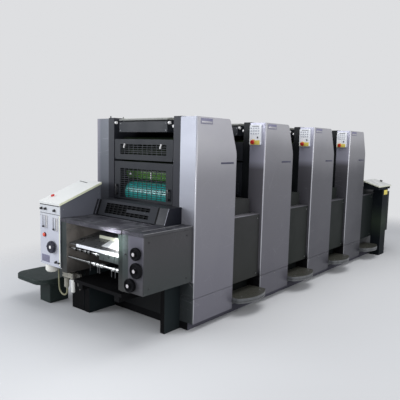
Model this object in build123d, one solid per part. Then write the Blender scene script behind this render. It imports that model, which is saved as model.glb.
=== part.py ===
from build123d import *
import math
import os

# Offset printing press with four units, a low-pile delivery and a feeder.
# Millimetres. X runs along the machine from the delivery (-X) to the feeder (+X),
# the operator stands at -Y, Z is up and the floor is z = 0.
# X = 0 lies midway between the second and third unit.

# Driving sizes of the printing units
unit_count = 4
unit_pitch = 890.0
first_front = -1.5 * unit_pitch
unit_fronts = [first_front + index * unit_pitch for index in range(unit_count)]
running_gap = 0.3

# Side panels
half_width = 556.5
strip_width = 155.0
panel_length = 481.0
panel_top_length = 388.0
panel_top_z = 1566.0
panel_bend_z = panel_top_z - 254.0
panel_foot_z = 60.0
panel_seam_z = 250.0
seam_width = 3.0
panel_bend_radius = 150.0
panel_corner_radius = 30.0
panel_edge_radius = 6.0
panel_front_radius = 12.0

# Side frames and walls of a unit
frame_outer_y = half_width - strip_width
frame_thickness = 68.5
frame_inner_y = frame_outer_y - frame_thickness
frame_length = 620.0
frame_top_z = panel_top_z + 5.0
frame_slope_z = frame_top_z - 241.0
frame_slope_length = 120.0
front_wall_thickness = 12.0
front_wall_top_z = 912.0
rear_wall_thickness = 20.0
rear_wall_top_z = frame_top_z - 43.0
top_plate_z = frame_top_z - 41.0
top_plate_thickness = 15.0
top_pin_radius = 5.0
top_pin_height = 15.0
top_pin_setback = 14.0

# Plinth under units and feeder
base_half_width = 500.0
base_inset = 5.0
feeder_front = unit_fronts[-1] + frame_length + 2.0
feeder_length = 923.0
machine_rear_x = feeder_front + feeder_length

# Ink duct and its lid at the top of each unit
duct_half_width = 268.0
duct_top_z = panel_top_z - 2.0
duct_lid_front_z = duct_top_z - 7.0
duct_face_top_z = duct_top_z - 29.0
duct_bottom_z = duct_face_top_z - 79.0
duct_gap = 11.0
duct_length = 220.0
duct_groove_depth = 40.0
duct_pin_radius = 16.0
duct_pin_setback = 110.0
duct_pin_z = duct_bottom_z + 46.0
lid_pin_y = 236.0
lid_pin_height = 14.0
knob_radius = 11.0
knob_length = 17.0
knob_setback = 14.0
high_knob_z = duct_top_z - 21.0
low_knob_z = duct_bottom_z + 42.0

# Guards in front of the cylinders
guard_setback = 3.0
guard_thickness = 12.0
guard_half_width = 327.0
lower_guard_bottom_z = front_wall_top_z + 9.0
lower_guard_top_z = lower_guard_bottom_z + 302.0
upper_guard_bottom_z = lower_guard_top_z + 15.0
upper_guard_top_z = upper_guard_bottom_z + 162.0
guard_pivot_inset = 6.0
guard_pin_radius = 4.0
guard_window = 520.0
guard_columns = 10
rear_guard_columns = 5
guard_web = 7.0
slot_height = 12.0
lower_slots_z = lower_guard_bottom_z + 129.0
lower_slot_rows = 14
lower_slot_pitch = 17.0
upper_slots_z = upper_guard_bottom_z + 82.0
upper_slot_rows = 5
upper_slot_pitch = 16.5
guard_handle_y = 294.0
guard_handle_z = 990.0
guard_handle_length = 94.0
guard_handle_width = 17.0
guard_handle_depth = 22.0

# Cylinders and rollers
cylinder_radius = 90.0
cylinder_half_length = 300.0
bearer_radius = 87.0
bearer_width = 22.0
journal_radius = 25.0
cylinder_nip = 5.0
blanket_setback = 125.0
blanket_z = 971.0
plate_rise_angle = 62.0
channel_width = 12.0
channel_depth = 14.0
blanket_channel_angle = 120.0
plate_channel_angle = 60.0
roller_radii = [32.0, 32.0, 40.0, 36.0, 34.0]
roller_setbacks = [100.0, 165.0, 99.0, 183.0, 112.0]
roller_heights = [1198.0, 1256.0, 1296.0, 1330.0, 1385.0]
roller_half_length = 318.0
roller_journal_radius = 12.0

# Unit control panels on the front strips of units 2 to 4
control_panel_width = 112.0
control_panel_edge_y = 404.0
control_panel_low_z = 1379.0
control_panel_high_z = 1549.0
control_panel_depth = 14.0
control_panel_radius = 8.0
stop_button_y = 443.0
stop_button_z = 1402.0
stop_button_radius = 19.0
stop_stem_radius = 11.0
stop_button_height = 12.0
stop_stem_height = 10.0
stop_cap_round = 7.0

# Low covers, transfer housings and steps between the units
cover_outer_y = 527.0
cover_inner_y = 450.0
cover_low_z = 245.0
table_z = 790.0
transfer_gap = 2.0
transfer_end_gap = 45.0
transfer_top_z = 920.0
transfer_edge_radius = 14.0
step_top_z = 150.0
step_thickness = 42.0
step_groove_z = (122.0, 127.0)
step_groove_depth = 4.0
step_inner_y = 452.0
step_side_y = 615.0
step_nose_y = 682.0
step_corner_radius = 35.0
step_side_gap = 5.0
step_support_depth = 46.0
step_support_inset = 60.0

# Delivery
delivery_length = 483.0
delivery_front = first_front - delivery_length
housing_outer_y = 538.0
housing_inner_y = 393.0
housing_bottom_z = 380.0
housing_corner_radius = 10.0
table_thickness = 25.0
delivery_frame_setback = 6.0
opening_operator_y = -328.0
opening_drive_y = 311.0
delivery_frame_drive_y = 380.0
delivery_frame_bottom_z = 370.0
inner_flange_y = -288.0
inner_flange_top_z = 755.0
operator_leg_front = first_front - 165.0
operator_leg_y = (-425.0, -385.0)
drive_leg_front = first_front - 265.0
drive_leg_y = (318.0, 376.0)
console_leg_x = (first_front - 265.0, first_front - 115.0)
console_leg_y = (385.0, 545.0)
slot_centre_y = -452.0
slot_width = 12.0
slot_depth = 18.0
slot_ends = (delivery_front + 70.0, first_front - 53.0)

# Slotted hood at the rear of the delivery table
hood_foot = first_front - 177.0
hood_top_front = hood_foot + 44.0
hood_rear = first_front
hood_top_z = 913.0
hood_foot_rise = 8.0
hood_middle_y = 322.0
hood_end_gap = 3.0
hood_operator_end_y = -426.0
hood_edge_radius = 5.0
hood_slot_columns = 10
hood_slot_rows = 5
hood_slot_pitch = (50.0, 18.2)
hood_slot = (41.0, 11.0)
hood_slot_depth = 14.0

# Hinged delivery cover
cover_side_gap = 5.5
cover_cut_rear = hood_foot - 13.0
cover_rear = cover_cut_rear - 9.0
cover_plate = 12.0
cover_lip_height = 28.0
cover_lip_thickness = 14.0
cover_hinge_x = cover_rear - 7.0
cover_hinge_z = table_z - 6.0
cover_pin_radius = 4.0

# Sheet guide, bar and stops in the delivery opening
guide_front = delivery_front + 28.0
guide_rear = first_front - 12.0
guide_front_z = 604.0
guide_rear_z = 690.0
guide_thickness = 5.0
guide_bar_depth = 16.0
guide_bar_height = 22.0
guide_bar_drive_y = 200.0
apron_drive_y = -55.0
apron_bottom_z = 540.0
apron_thickness = 4.0
wheel_shaft_x = delivery_front + 34.0
wheel_shaft_z = 570.0
wheel_shaft_radius = 5.0
wheel_radius = 14.0
wheel_width = 20.0
wheel_places = [231.0, 165.0, 101.0, 62.0, -26.0]
stop_shaft_x = delivery_front + 23.0
stop_shaft_z = 500.0
stop_shaft_radius = 9.0
stop_ring_radius = 16.0
stop_ring_width = 22.0
stop_ring_places = [-272.0, -230.0, -103.0, -58.0, -18.0, 39.0]
stop_lever_places = [-238.0, -199.0, -66.0, -45.0, 39.0]
stop_lever_size = (6.0, 8.0)
stop_lever_bottom_z = 440.0

# Delivery pile board and its lift arms
pile_front = delivery_front + 48.0
pile_rear = first_front - 40.0
pile_y = (-270.0, 280.0)
pile_board_z = 300.0
pile_board_thickness = 25.0
lift_arm_width = 50.0
lift_arm_height = 40.0
lift_arm_places = [-220.0, 200.0]

# Handwheels on the housing face: height, side place and radius
handwheel_places = [(-483.0, 656.0, 43.0), (-489.0, 546.0, 52.0), (-430.0, 437.0, 47.0)]
handwheel_rim = 24.0
handwheel_hub_radius = 15.0
handwheel_hub_length = 33.0
handwheel_boss_radius = 17.0
handwheel_boss_length = 8.0
handwheel_dish_depth = 8.0
handwheel_dish_inset = 9.0
handwheel_back_bevel = 2.5
handwheel_front_bevel = 2.0

# Console at the drive side of the delivery
console_y = (380.0, 650.0)
console_bottom_z = 398.0
console_front_top_z = 884.0
console_rear = delivery_front + 383.0
console_rear_top_z = 1028.0
console_face_thickness = 6.0
console_corner_radius = 8.0
lid_thickness = 18.0
lid_overhang = 6.0
small_knob_radius = 11.0
small_knob_depth = 18.0
small_knob_places = [(623.0, 843.0), (567.0, 844.0), (445.0, 840.0), (428.0, 438.0)]
flow_meter_places = [(576.0, 745.0), (434.0, 737.0)]
flow_meter_size = (46.0, 100.0)
flow_meter_depth = 12.0
face_button_place = (584.0, 636.0)
face_button_radius = 15.0
face_button_depth = 12.0
lid_button_x = delivery_front + 76.0
lid_button_y = 593.0
regulator_place = (471.0, 554.0)
regulator_radius = 48.0
regulator_depth = 26.0
regulator_hub_radius = 14.0
regulator_boss_length = 6.0
regulator_nub = 9.0
regulator_front_bevel = 5.0
regulator_dish_radius = 30.0
regulator_dish_depth = 6.0

# Cup, air filters and hose under the console
cup_centre = (delivery_front + 56.0, console_y[1] - 62.0)
cup_radius = 50.0
cup_bottom_z = 325.0
cup_round = 26.0
filter_x = delivery_front + 128.0
filter_block_y = (368.0, 515.0)
filter_block_z = (290.0, 332.0)
filter_block_depth = 50.0
filter_bracket_width = 40.0
filter_bracket_y = 440.0
bowl_places = [(492.0, 200.0, 20.0), (405.0, 171.0, 15.0)]
bowl_round = 7.0
bowl_collar = 3.0
bowl_collar_height = 14.0
side_bowl = (filter_x + 10.0, 328.0, 236.0, 19.0)
side_nipple = (6.0, 30.0)
hose_radius = 6.5
gland_radius = 11.0
gland_length = 14.0
barb_radius = 9.5
barb_length = 8.5
barb_y = 486.0
hose_x = filter_x
hose_points = [
    (600, 383.5),
    (603, 318),
    (602, 250),
    (600, 158),
    (556, 125),
    (512, 127),
    (486, 156),
    (486, 191.5),
]
hose_bend_share = 0.45

# Low step at the drive side of the console
side_step_x = (delivery_front - 7.0, delivery_front + 353.0)
side_step_y = (console_y[1] + 12.0, console_y[1] + 440.0)
side_step_top_z = 232.0
side_step_board = 40.0
side_step_corner_radius = 105.0
side_step_edge_radius = 9.0
side_step_foot_x = (delivery_front + 133.0, delivery_front + 318.0)
side_step_foot_y = (console_y[1] + 95.0, console_y[1] + 250.0)
side_step_foot_round = 8.0

# Feeder
feeder_frame_inner_y = 340.0
feeder_board_rear = feeder_front + 383.0
feeder_board_front_z = 812.0
feeder_board_rear_z = 872.0
feeder_board_half_width = 400.0
feeder_cover_split = feeder_front + 253.0
head_beam_x = (feeder_front + 663.0, feeder_front + 743.0)
head_beam_height = 60.0
head_post_y = (150.0, 200.0)
head_top_z = 1180.0
head_block_x = (feeder_front + 383.0, feeder_front + 743.0)
head_block_height = 110.0
head_half_width = 170.0
head_edge_radius = 22.0
sucker_x = feeder_front + 408.0
sucker_places = [-120.0, -45.0, 45.0, 120.0]
sucker_stem_radius = 7.0
sucker_cup_radius = 15.0
sucker_cup_height = 12.0
sucker_bottom_z = 1015.0
feeder_pile_x = (feeder_front + 403.0, feeder_front + 903.0)
feeder_pile_z = 150.0
feeder_pile_half_width = 300.0
feeder_bar_height = 30.0
feeder_bar_places = [feeder_front + 473.0, feeder_front + 833.0]

# Feeder console on its pedestal
pedestal_x = (feeder_front + 293.0, feeder_front + 478.0)
pedestal_outer_y = -650.0
head_x = (feeder_front + 153.0, feeder_front + 573.0)
head_y = (-645.0, -445.0)
head_low_z = 858.0
head_front_z = 892.0
head_back_z = 952.0
head_lid_thickness = 16.0
head_lid_overhang = 10.0


def block(x, y, z):
    """A block between low and high values on each axis."""
    size = Box(x[1] - x[0], y[1] - y[0], z[1] - z[0])
    return Pos((x[0] + x[1]) / 2, (y[0] + y[1]) / 2, (z[0] + z[1]) / 2) * size


def mirrored(y):
    """The same span on the other side of the centre line."""
    return (-y[1], -y[0])


def outline(points, radii=None, cuts=None):
    """A closed flat outline; radii rounds and cuts bevels the corners with the given numbers."""
    sketch = make_face(Polyline(*points, close=True))
    for finish, sizes in ((fillet, radii), (chamfer, cuts)):
        for corner, size in (sizes or {}).items():
            place = Vector(*points[corner])
            vertex = sketch.vertices().sort_by_distance(place)[0]
            sketch = finish(vertex, size)
    return sketch


def along_y(sketch, y):
    """Extrudes a sketch of (x, z) points between two y values."""
    plane = Plane(origin=(0, y[1], 0), x_dir=(1, 0, 0), z_dir=(0, -1, 0))
    return extrude(plane * sketch, amount=y[1] - y[0])


def along_x(sketch, x):
    """Extrudes a sketch of (y, z) points between two x values."""
    plane = Plane(origin=(x[0], 0, 0), x_dir=(0, 1, 0), z_dir=(1, 0, 0))
    return extrude(plane * sketch, amount=x[1] - x[0])


def along_z(sketch, z):
    """Extrudes a sketch of (x, y) points between two heights."""
    return extrude(Pos(0, 0, z[0]) * sketch, amount=z[1] - z[0])


def rod_y(x, z, y, radius):
    """A round bar along Y."""
    return along_y(Pos(x, z) * Circle(radius), y)


def rod_x(y, z, x, radius):
    """A round bar along X."""
    return along_x(Pos(y, z) * Circle(radius), x)


def rod_z(x, y, z, radius):
    """A round bar along Z."""
    return along_z(Pos(x, y) * Circle(radius), z)


def turned_x(y, z, profile):
    """Turns a flat (x, radius) outline about an axis along X."""
    plane = Plane(origin=(0, y, z), x_dir=(1, 0, 0), z_dir=(0, -1, 0))
    return revolve(plane * profile, axis=Axis((0, y, z), (1, 0, 0)))


def turned_z(x, y, profile):
    """Turns a flat (radius, z) outline about an upright axis."""
    plane = Plane(origin=(x, y, 0), x_dir=(1, 0, 0), z_dir=(0, -1, 0))
    return revolve(plane * profile, axis=Axis((x, y, 0), (0, 0, 1)))


def slot_grid(centre, size, pitch, columns, rows):
    """A grid of slots to cut from a flat face."""
    slot = Rectangle(*size)
    return [Pos(*centre) * place * slot for place in GridLocations(*pitch, columns, rows)]


def save(name, *solids):
    """Writes one node, of one or more solids."""
    shape = solids[0] if len(solids) == 1 else Compound(children=list(solids))
    export_step(shape, os.path.join("parts", name + ".step"))


def rounded_front(panel):
    """Rounds the outer upright edge at the front of a panel."""
    uprights = panel.edges().filter_by(Axis.Z).group_by(Axis.X)[0]
    outer = uprights.sort_by(lambda edge: abs(edge.center().Y))[-1]
    return fillet(outer, panel_front_radius)


def side_panel(front, y):
    """The panel above the seam and its foot panel below."""
    rear = front + panel_length
    top_rear = front + panel_top_length
    upper = outline(
        [
            (front, panel_seam_z + seam_width / 2),
            (rear, panel_seam_z + seam_width / 2),
            (rear, panel_bend_z),
            (top_rear, panel_top_z),
            (front, panel_top_z),
        ],
        {2: panel_bend_radius, 3: panel_corner_radius},
    )
    foot = block((front, rear), y, (panel_foot_z, panel_seam_z - seam_width / 2))
    return [rounded_front(along_y(upper, y)), rounded_front(foot)]


def side_panels(side):
    """All panels of one side: -1 the operator side, 1 the drive side."""
    span = (frame_outer_y, half_width)
    y = span if side > 0 else mirrored(span)
    solids = []
    for front in unit_fronts:
        solids += side_panel(front, y)
    return solids


def unit_frames():
    """Two side frames for each unit, with the upper rear corner cut back."""
    span = (frame_inner_y, frame_outer_y)
    solids = []
    for front in unit_fronts:
        profile = outline(
            [
                (front, panel_foot_z),
                (front + frame_length, panel_foot_z),
                (front + frame_length, frame_slope_z),
                (front + frame_length - frame_slope_length, frame_top_z),
                (front, frame_top_z),
            ],
            {4: panel_edge_radius},
        )
        drive_frame = along_y(profile, span)
        pin_z = (frame_top_z, frame_top_z + top_pin_height)
        pin_y = frame_outer_y - 2 * top_pin_radius
        drive_frame += rod_z(front + top_pin_setback, pin_y, pin_z, top_pin_radius)
        solids += [drive_frame, along_y(profile, mirrored(span))]
    return solids


def unit_walls():
    """Front wall under the guards, rear wall and top plate of each unit."""
    y = (-frame_inner_y, frame_inner_y)
    solids = []
    for front in unit_fronts:
        rear_wall_front = front + frame_length - frame_slope_length - rear_wall_thickness
        front_wall = (front, front + front_wall_thickness)
        rear_wall = (rear_wall_front, rear_wall_front + rear_wall_thickness)
        top_plate = (front + duct_length + seam_width, rear_wall_front + rear_wall_thickness)
        solids.append(block(front_wall, y, (panel_foot_z, front_wall_top_z)))
        solids.append(block(rear_wall, y, (panel_foot_z, rear_wall_top_z)))
        solids.append(block(top_plate, y, (top_plate_z, top_plate_z + top_plate_thickness)))
    return solids


def base_frame():
    """The plinth under the units and the feeder."""
    x = (first_front + base_inset, machine_rear_x)
    return block(x, (-base_half_width, base_half_width), (0, panel_foot_z))


def ink_duct(front):
    """The duct box, the shadow gap above its face and the lid, on two side pins."""
    gap_top = duct_face_top_z + duct_gap
    profile = outline(
        [
            (front, duct_bottom_z),
            (front, duct_face_top_z),
            (front + duct_groove_depth, duct_face_top_z),
            (front + duct_groove_depth, gap_top),
            (front, gap_top),
            (front, duct_lid_front_z),
            (front + duct_groove_depth, duct_top_z),
            (front + duct_length, duct_top_z),
            (front + duct_length, duct_bottom_z),
        ]
    )
    body = along_y(profile, (-duct_half_width, duct_half_width))
    lid_pin_z = (duct_lid_front_z, duct_lid_front_z + lid_pin_height + top_pin_radius)
    body += rod_z(front + top_pin_setback, lid_pin_y, lid_pin_z, top_pin_radius)
    pin_x = front + duct_pin_setback
    return body + rod_y(pin_x, duct_pin_z, (-frame_inner_y, frame_inner_y), duct_pin_radius)


def duct_end_knobs():
    """Pale round ends beside each duct: two on the frames, one on the duct's end."""
    solids = []
    for front in unit_fronts:
        x = front + knob_setback
        drive_y = (frame_inner_y - knob_length, frame_inner_y)
        duct_end_y = (-duct_half_width - knob_length, -duct_half_width)
        solids.append(rod_y(x, high_knob_z - knob_radius, drive_y, knob_radius))
        solids.append(rod_y(x, low_knob_z, mirrored(drive_y), knob_radius))
        solids.append(rod_y(x, duct_face_top_z - knob_radius, duct_end_y, knob_radius))
    return solids


def guard_plate(front, z, slots_z, row_pitch, rows, columns):
    """A guard: a plate with rounded corners and a window of slots."""
    x = (front + guard_setback, front + guard_setback + guard_thickness)
    middle = (z[0] + z[1]) / 2
    face = Pos(0, middle) * RectangleRounded(2 * guard_half_width, z[1] - z[0], panel_edge_radius)
    column_pitch = guard_window / columns
    size = (column_pitch - guard_web, slot_height)
    face -= slot_grid((0, slots_z), size, (column_pitch, row_pitch), columns, rows)
    return along_x(face, x)


def guard_pins(front, z):
    """The pivot pins at the two ends of a guard."""
    x = front + guard_setback + guard_thickness / 2
    reach = frame_inner_y - running_gap
    return rod_y(x, z, (-reach, reach), guard_pin_radius)


def guard_handle(front, y):
    """An upright oval handle on the lower guard."""
    x = (front + guard_setback - guard_handle_depth, front + guard_setback)
    shape = SlotOverall(guard_handle_length, guard_handle_width, rotation=90)
    return along_x(Pos(y, guard_handle_z) * shape, x)


def lower_guard(front, columns):
    """The lower guard with its pins at the top edge and its two handles."""
    z = (lower_guard_bottom_z, lower_guard_top_z)
    plate = guard_plate(front, z, lower_slots_z, lower_slot_pitch, lower_slot_rows, columns)
    pins = guard_pins(front, lower_guard_top_z - guard_pivot_inset)
    handles = guard_handle(front, guard_handle_y) + guard_handle(front, -guard_handle_y)
    return plate + pins + handles


def upper_guard(front, columns):
    """The upper guard with its pins at the bottom edge."""
    z = (upper_guard_bottom_z, upper_guard_top_z)
    plate = guard_plate(front, z, upper_slots_z, upper_slot_pitch, upper_slot_rows, columns)
    return plate + guard_pins(front, upper_guard_bottom_z + guard_pivot_inset)


def printing_cylinder(x, z, channel_angle):
    """A cylinder with its clamping channel, bearer rings and journals."""
    half = cylinder_half_length
    body = rod_y(x, z, (-half, half), cylinder_radius)
    slot = Box(channel_depth, 2 * half, channel_width)
    slot = Pos(cylinder_radius - channel_depth / 2, 0, 0) * slot
    body -= Pos(x, 0, z) * Rot(0, channel_angle, 0) * slot
    bearer = half + bearer_width
    reach = frame_inner_y - running_gap
    body += rod_y(x, z, (-bearer, bearer), bearer_radius)
    return body + rod_y(x, z, (-reach, reach), journal_radius)


def blanket_cylinder(front):
    """The blanket cylinder, seen through the lower guard."""
    return printing_cylinder(front + blanket_setback, blanket_z, blanket_channel_angle)


def plate_cylinder_place(front):
    """Axis of the plate cylinder, above and behind the blanket cylinder."""
    distance = 2 * cylinder_radius + cylinder_nip
    rise = math.radians(plate_rise_angle)
    x = front + blanket_setback + distance * math.cos(rise)
    return x, blanket_z + distance * math.sin(rise)


def plate_cylinder(front):
    """The plate cylinder."""
    x, z = plate_cylinder_place(front)
    return printing_cylinder(x, z, plate_channel_angle)


def ink_roller(x, z, radius):
    """A roller whose journals reach the side frames."""
    half = roller_half_length
    roller = rod_y(x, z, (-half, half), radius)
    return roller + rod_y(x, z, (-frame_inner_y, frame_inner_y), roller_journal_radius)


def ink_rollers():
    """The roller train behind the upper guard of each unit."""
    solids = []
    for front in unit_fronts:
        for setback, z, radius in zip(roller_setbacks, roller_heights, roller_radii):
            solids.append(ink_roller(front + setback, z, radius))
    return solids


def unit_control_panels():
    """Control panels on the operator front strips of units 2 to 4."""
    y = -control_panel_edge_y - control_panel_width / 2
    z = (control_panel_low_z + control_panel_high_z) / 2
    height = control_panel_high_z - control_panel_low_z
    face = Pos(y, z) * RectangleRounded(control_panel_width, height, control_panel_radius)
    return [along_x(face, (front - control_panel_depth, front)) for front in unit_fronts[1:]]


def mushroom(x, y, z):
    """A stop button that stands out towards the delivery from the face at x."""
    under = x - stop_stem_height
    top = under - stop_button_height
    profile = outline(
        [
            (x, 0),
            (x, stop_stem_radius),
            (under, stop_stem_radius),
            (under, stop_button_radius),
            (top, stop_button_radius),
            (top, 0),
        ],
        {4: stop_cap_round},
    )
    return turned_x(y, z, profile)


def lid_line(x):
    """Height of the console lid's underside at x."""
    share = (x - delivery_front) / (console_rear - delivery_front)
    return console_front_top_z + share * (console_rear_top_z - console_front_top_z)


def lid_slope():
    """Angle of the console lid in degrees."""
    rise = console_rear_top_z - console_front_top_z
    return math.degrees(math.atan2(rise, console_rear - delivery_front))


def stop_buttons():
    """Stop buttons on the units, and the round buttons of the delivery console."""
    solids = []
    for front in unit_fronts[1:]:
        solids.append(mushroom(front - control_panel_depth, -stop_button_y, stop_button_z))
    y, z = face_button_place
    face = delivery_front - console_face_thickness
    solids.append(rod_x(y, z, (face - face_button_depth, face), face_button_radius))
    slope = lid_slope()
    surface = lid_line(lid_button_x) + lid_thickness / math.cos(math.radians(slope))
    cap = Pos(0, 0, face_button_depth / 2) * Cylinder(face_button_radius, face_button_depth)
    solids.append(Pos(lid_button_x, lid_button_y, surface) * Rot(0, -slope, 0) * cap)
    return solids


def lower_covers():
    """Low covers between the units and along the feeder, on both sides."""
    span = (cover_inner_y, cover_outer_y)
    z = (cover_low_z, table_z)
    gaps = []
    for front, following in zip(unit_fronts, unit_fronts[1:]):
        gaps.append((front + panel_length, following))
    gaps.append((unit_fronts[-1] + panel_length, feeder_cover_split - seam_width))
    gaps.append((feeder_cover_split, machine_rear_x))
    solids = []
    for x in gaps:
        solids += [block(x, mirrored(span), z), block(x, span, z)]
    return solids


def transfer_housings():
    """The low box over the sheet transfer between two units."""
    y = (-cover_inner_y, cover_inner_y)
    solids = []
    for front, following in zip(unit_fronts, unit_fronts[1:]):
        near = front + frame_length + transfer_gap
        far = following - transfer_end_gap
        profile = outline(
            [(near, panel_foot_z), (near, transfer_top_z), (far, transfer_top_z), (far, panel_foot_z)],
            {1: transfer_edge_radius, 2: transfer_edge_radius},
        )
        solids.append(along_y(profile, y))
    return solids


def foot_step(rear):
    """A half-moon step behind the panel edge at x = rear, on its support."""
    left = rear + step_side_gap
    right = rear + unit_pitch - panel_length - step_side_gap
    middle = (left + right) / 2
    ends = [(right, -step_side_y), (left, -step_side_y)]
    sides = Polyline(ends[0], (right, -step_inner_y), (left, -step_inner_y), ends[1])
    nose = ThreePointArc(ends[1], (middle, -step_nose_y), ends[0])
    plan = make_face(sides.edges() + nose.edges())
    corners = plan.vertices().sort_by(Axis.Y)[0:2]
    plan = fillet(corners, step_corner_radius)
    tread = along_z(plan, (step_top_z - step_thickness, step_top_z))
    tread -= along_z(plan - offset(plan, amount=-step_groove_depth), step_groove_z)
    support_x = (left + step_support_inset, right - step_support_inset)
    support_y = (-step_inner_y - step_support_depth, -step_inner_y)
    return tread + block(support_x, support_y, (panel_foot_z, step_top_z - step_thickness))


def delivery_housing():
    """The closed side housing with the bosses of the handwheels."""
    plan = outline(
        [
            (delivery_front, -housing_outer_y),
            (first_front, -housing_outer_y),
            (first_front, -housing_inner_y),
            (delivery_front, -housing_inner_y),
        ],
        {0: housing_corner_radius},
    )
    body = along_z(plan, (housing_bottom_z, table_z - table_thickness))
    boss_x = (delivery_front - handwheel_boss_length, delivery_front)
    for y, z, _ in handwheel_places:
        body += rod_x(y, z, boss_x, handwheel_boss_radius)
    return body


def delivery_frames():
    """The two side frames of the delivery opening, and the flange inside the operator's."""
    x = (delivery_front + delivery_frame_setback, first_front)
    z = (delivery_frame_bottom_z, table_z - table_thickness)
    operator = block(x, (-housing_inner_y, opening_operator_y), z)
    flange = block(x, (opening_operator_y, inner_flange_y), (z[0], inner_flange_top_z))
    drive = block(x, (opening_drive_y, delivery_frame_drive_y), z)
    return [operator, flange, drive]


def delivery_legs():
    """The legs under the housing, the drive side frame and the console."""
    operator = block((operator_leg_front, first_front), operator_leg_y, (0, delivery_frame_bottom_z))
    drive = block((drive_leg_front, first_front), drive_leg_y, (0, delivery_frame_bottom_z))
    console = block(console_leg_x, console_leg_y, (0, console_bottom_z))
    return [operator, drive, console]


def delivery_table():
    """The table plate with the cut-out for the hinged cover and the side slot."""
    z = (table_z - table_thickness, table_z)
    plate = block((delivery_front, first_front), (-housing_outer_y, delivery_frame_drive_y), z)
    cut_x = (delivery_front, cover_cut_rear)
    plate -= block(cut_x, (opening_operator_y, opening_drive_y), z)
    slot_y = (slot_centre_y - slot_width / 2, slot_centre_y + slot_width / 2)
    return plate - block(slot_ends, slot_y, (table_z - slot_depth, table_z))


def delivery_cover():
    """The hinged cover: plate, front lip and hinge pins."""
    y = (opening_operator_y + cover_side_gap, opening_drive_y - cover_side_gap)
    plate = block((delivery_front, cover_rear), y, (table_z - cover_plate, table_z))
    lip_x = (delivery_front, delivery_front + cover_lip_thickness)
    lip = block(lip_x, y, (table_z - cover_lip_height, table_z))
    pin_y = (opening_operator_y + running_gap, opening_drive_y - running_gap)
    return plate + lip + rod_y(cover_hinge_x, cover_hinge_z, pin_y, cover_pin_radius)


def hood_profile():
    """Side outline of the hood."""
    return outline(
        [
            (hood_foot, table_z),
            (hood_foot, table_z + hood_foot_rise),
            (hood_top_front, hood_top_z),
            (hood_rear, hood_top_z),
            (hood_rear, table_z),
        ],
        {2: hood_edge_radius},
    )


def hood_slots():
    """The slots in the hood's slope; the third row stops at the middle."""
    foot = Vector(hood_foot, 0, table_z + hood_foot_rise)
    top = Vector(hood_top_front, 0, hood_top_z)
    outward = Vector(foot.Z - top.Z, 0, top.X - foot.X)
    slope = Plane(origin=(foot + top) / 2, x_dir=(0, -1, 0), z_dir=outward)
    slots = []
    for place in GridLocations(*hood_slot_pitch, hood_slot_columns, hood_slot_rows):
        middle_row = abs(place.position.Y) < 1
        if middle_row and place.position.X > 0:
            continue
        slots.append(slope * place * Rectangle(*hood_slot))
    return [extrude(slot, amount=-hood_slot_depth) for slot in slots]


def delivery_hood():
    """The middle part of the hood, with its slots."""
    return along_y(hood_profile(), (-hood_middle_y, hood_middle_y)) - hood_slots()


def hood_end_covers():
    """The end pieces of the hood beyond the dark joints."""
    operator_y = (hood_operator_end_y, -hood_middle_y - hood_end_gap)
    drive_y = (hood_middle_y + hood_end_gap, delivery_frame_drive_y)
    return [along_y(hood_profile(), operator_y), along_y(hood_profile(), drive_y)]


def sheet_guide():
    """The pale guide plate that slopes down to the bar and its apron at the front."""
    y = (inner_flange_y, opening_drive_y)
    profile = outline(
        [
            (guide_front, guide_front_z - guide_thickness),
            (guide_rear, guide_rear_z - guide_thickness),
            (guide_rear, guide_rear_z),
            (guide_front, guide_front_z),
        ]
    )
    bar_x = (guide_front - guide_bar_depth, guide_front)
    bar_z = (guide_front_z - guide_bar_height / 2, guide_front_z + guide_bar_height / 2)
    bar = block(bar_x, (inner_flange_y, guide_bar_drive_y), bar_z)
    apron_x = (guide_front - apron_thickness, guide_front)
    apron = block(apron_x, (inner_flange_y, apron_drive_y), (apron_bottom_z, bar_z[1]))
    return along_y(profile, y) + bar + apron


def sheet_stops():
    """The shaft of small wheels under the guide, and the stop shaft with rings and levers."""
    y = (inner_flange_y, opening_drive_y)
    wheels = rod_y(wheel_shaft_x, wheel_shaft_z, y, wheel_shaft_radius)
    for place in wheel_places:
        wheel_y = (place - wheel_width / 2, place + wheel_width / 2)
        wheels += rod_y(wheel_shaft_x, wheel_shaft_z, wheel_y, wheel_radius)
    stops = rod_y(stop_shaft_x, stop_shaft_z, y, stop_shaft_radius)
    for place in stop_ring_places:
        ring_y = (place - stop_ring_width / 2, place + stop_ring_width / 2)
        stops += rod_y(stop_shaft_x, stop_shaft_z, ring_y, stop_ring_radius)
    depth, width = stop_lever_size
    for place in stop_lever_places:
        lever_x = (stop_shaft_x - depth / 2, stop_shaft_x + depth / 2)
        lever_y = (place - width / 2, place + width / 2)
        stops += block(lever_x, lever_y, (stop_lever_bottom_z, stop_shaft_z))
    return [wheels, stops]


def delivery_pile_board():
    """The pile board on its two lift arms, which come out of the unit's front wall."""
    z = (pile_board_z, pile_board_z + pile_board_thickness)
    board = block((pile_front, pile_rear), pile_y, z)
    for place in lift_arm_places:
        arm_y = (place - lift_arm_width / 2, place + lift_arm_width / 2)
        board += block((pile_front, first_front), arm_y, (pile_board_z - lift_arm_height, pile_board_z))
    return board


def handwheel(place):
    """A dished wheel with its hub, on the boss of the housing."""
    y, z, radius = place
    back = delivery_front - handwheel_boss_length - running_gap
    front = back - handwheel_rim
    dish = front + handwheel_dish_depth
    hub_end = back - handwheel_hub_length
    profile = outline(
        [
            (back, 0),
            (back, radius),
            (front, radius),
            (front, radius - handwheel_dish_inset),
            (dish, radius - handwheel_dish_inset),
            (dish, handwheel_hub_radius),
            (hub_end, handwheel_hub_radius),
            (hub_end, 0),
        ],
        cuts={1: handwheel_back_bevel, 2: handwheel_front_bevel, 3: handwheel_front_bevel},
    )
    return turned_x(y, z, profile)


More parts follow.
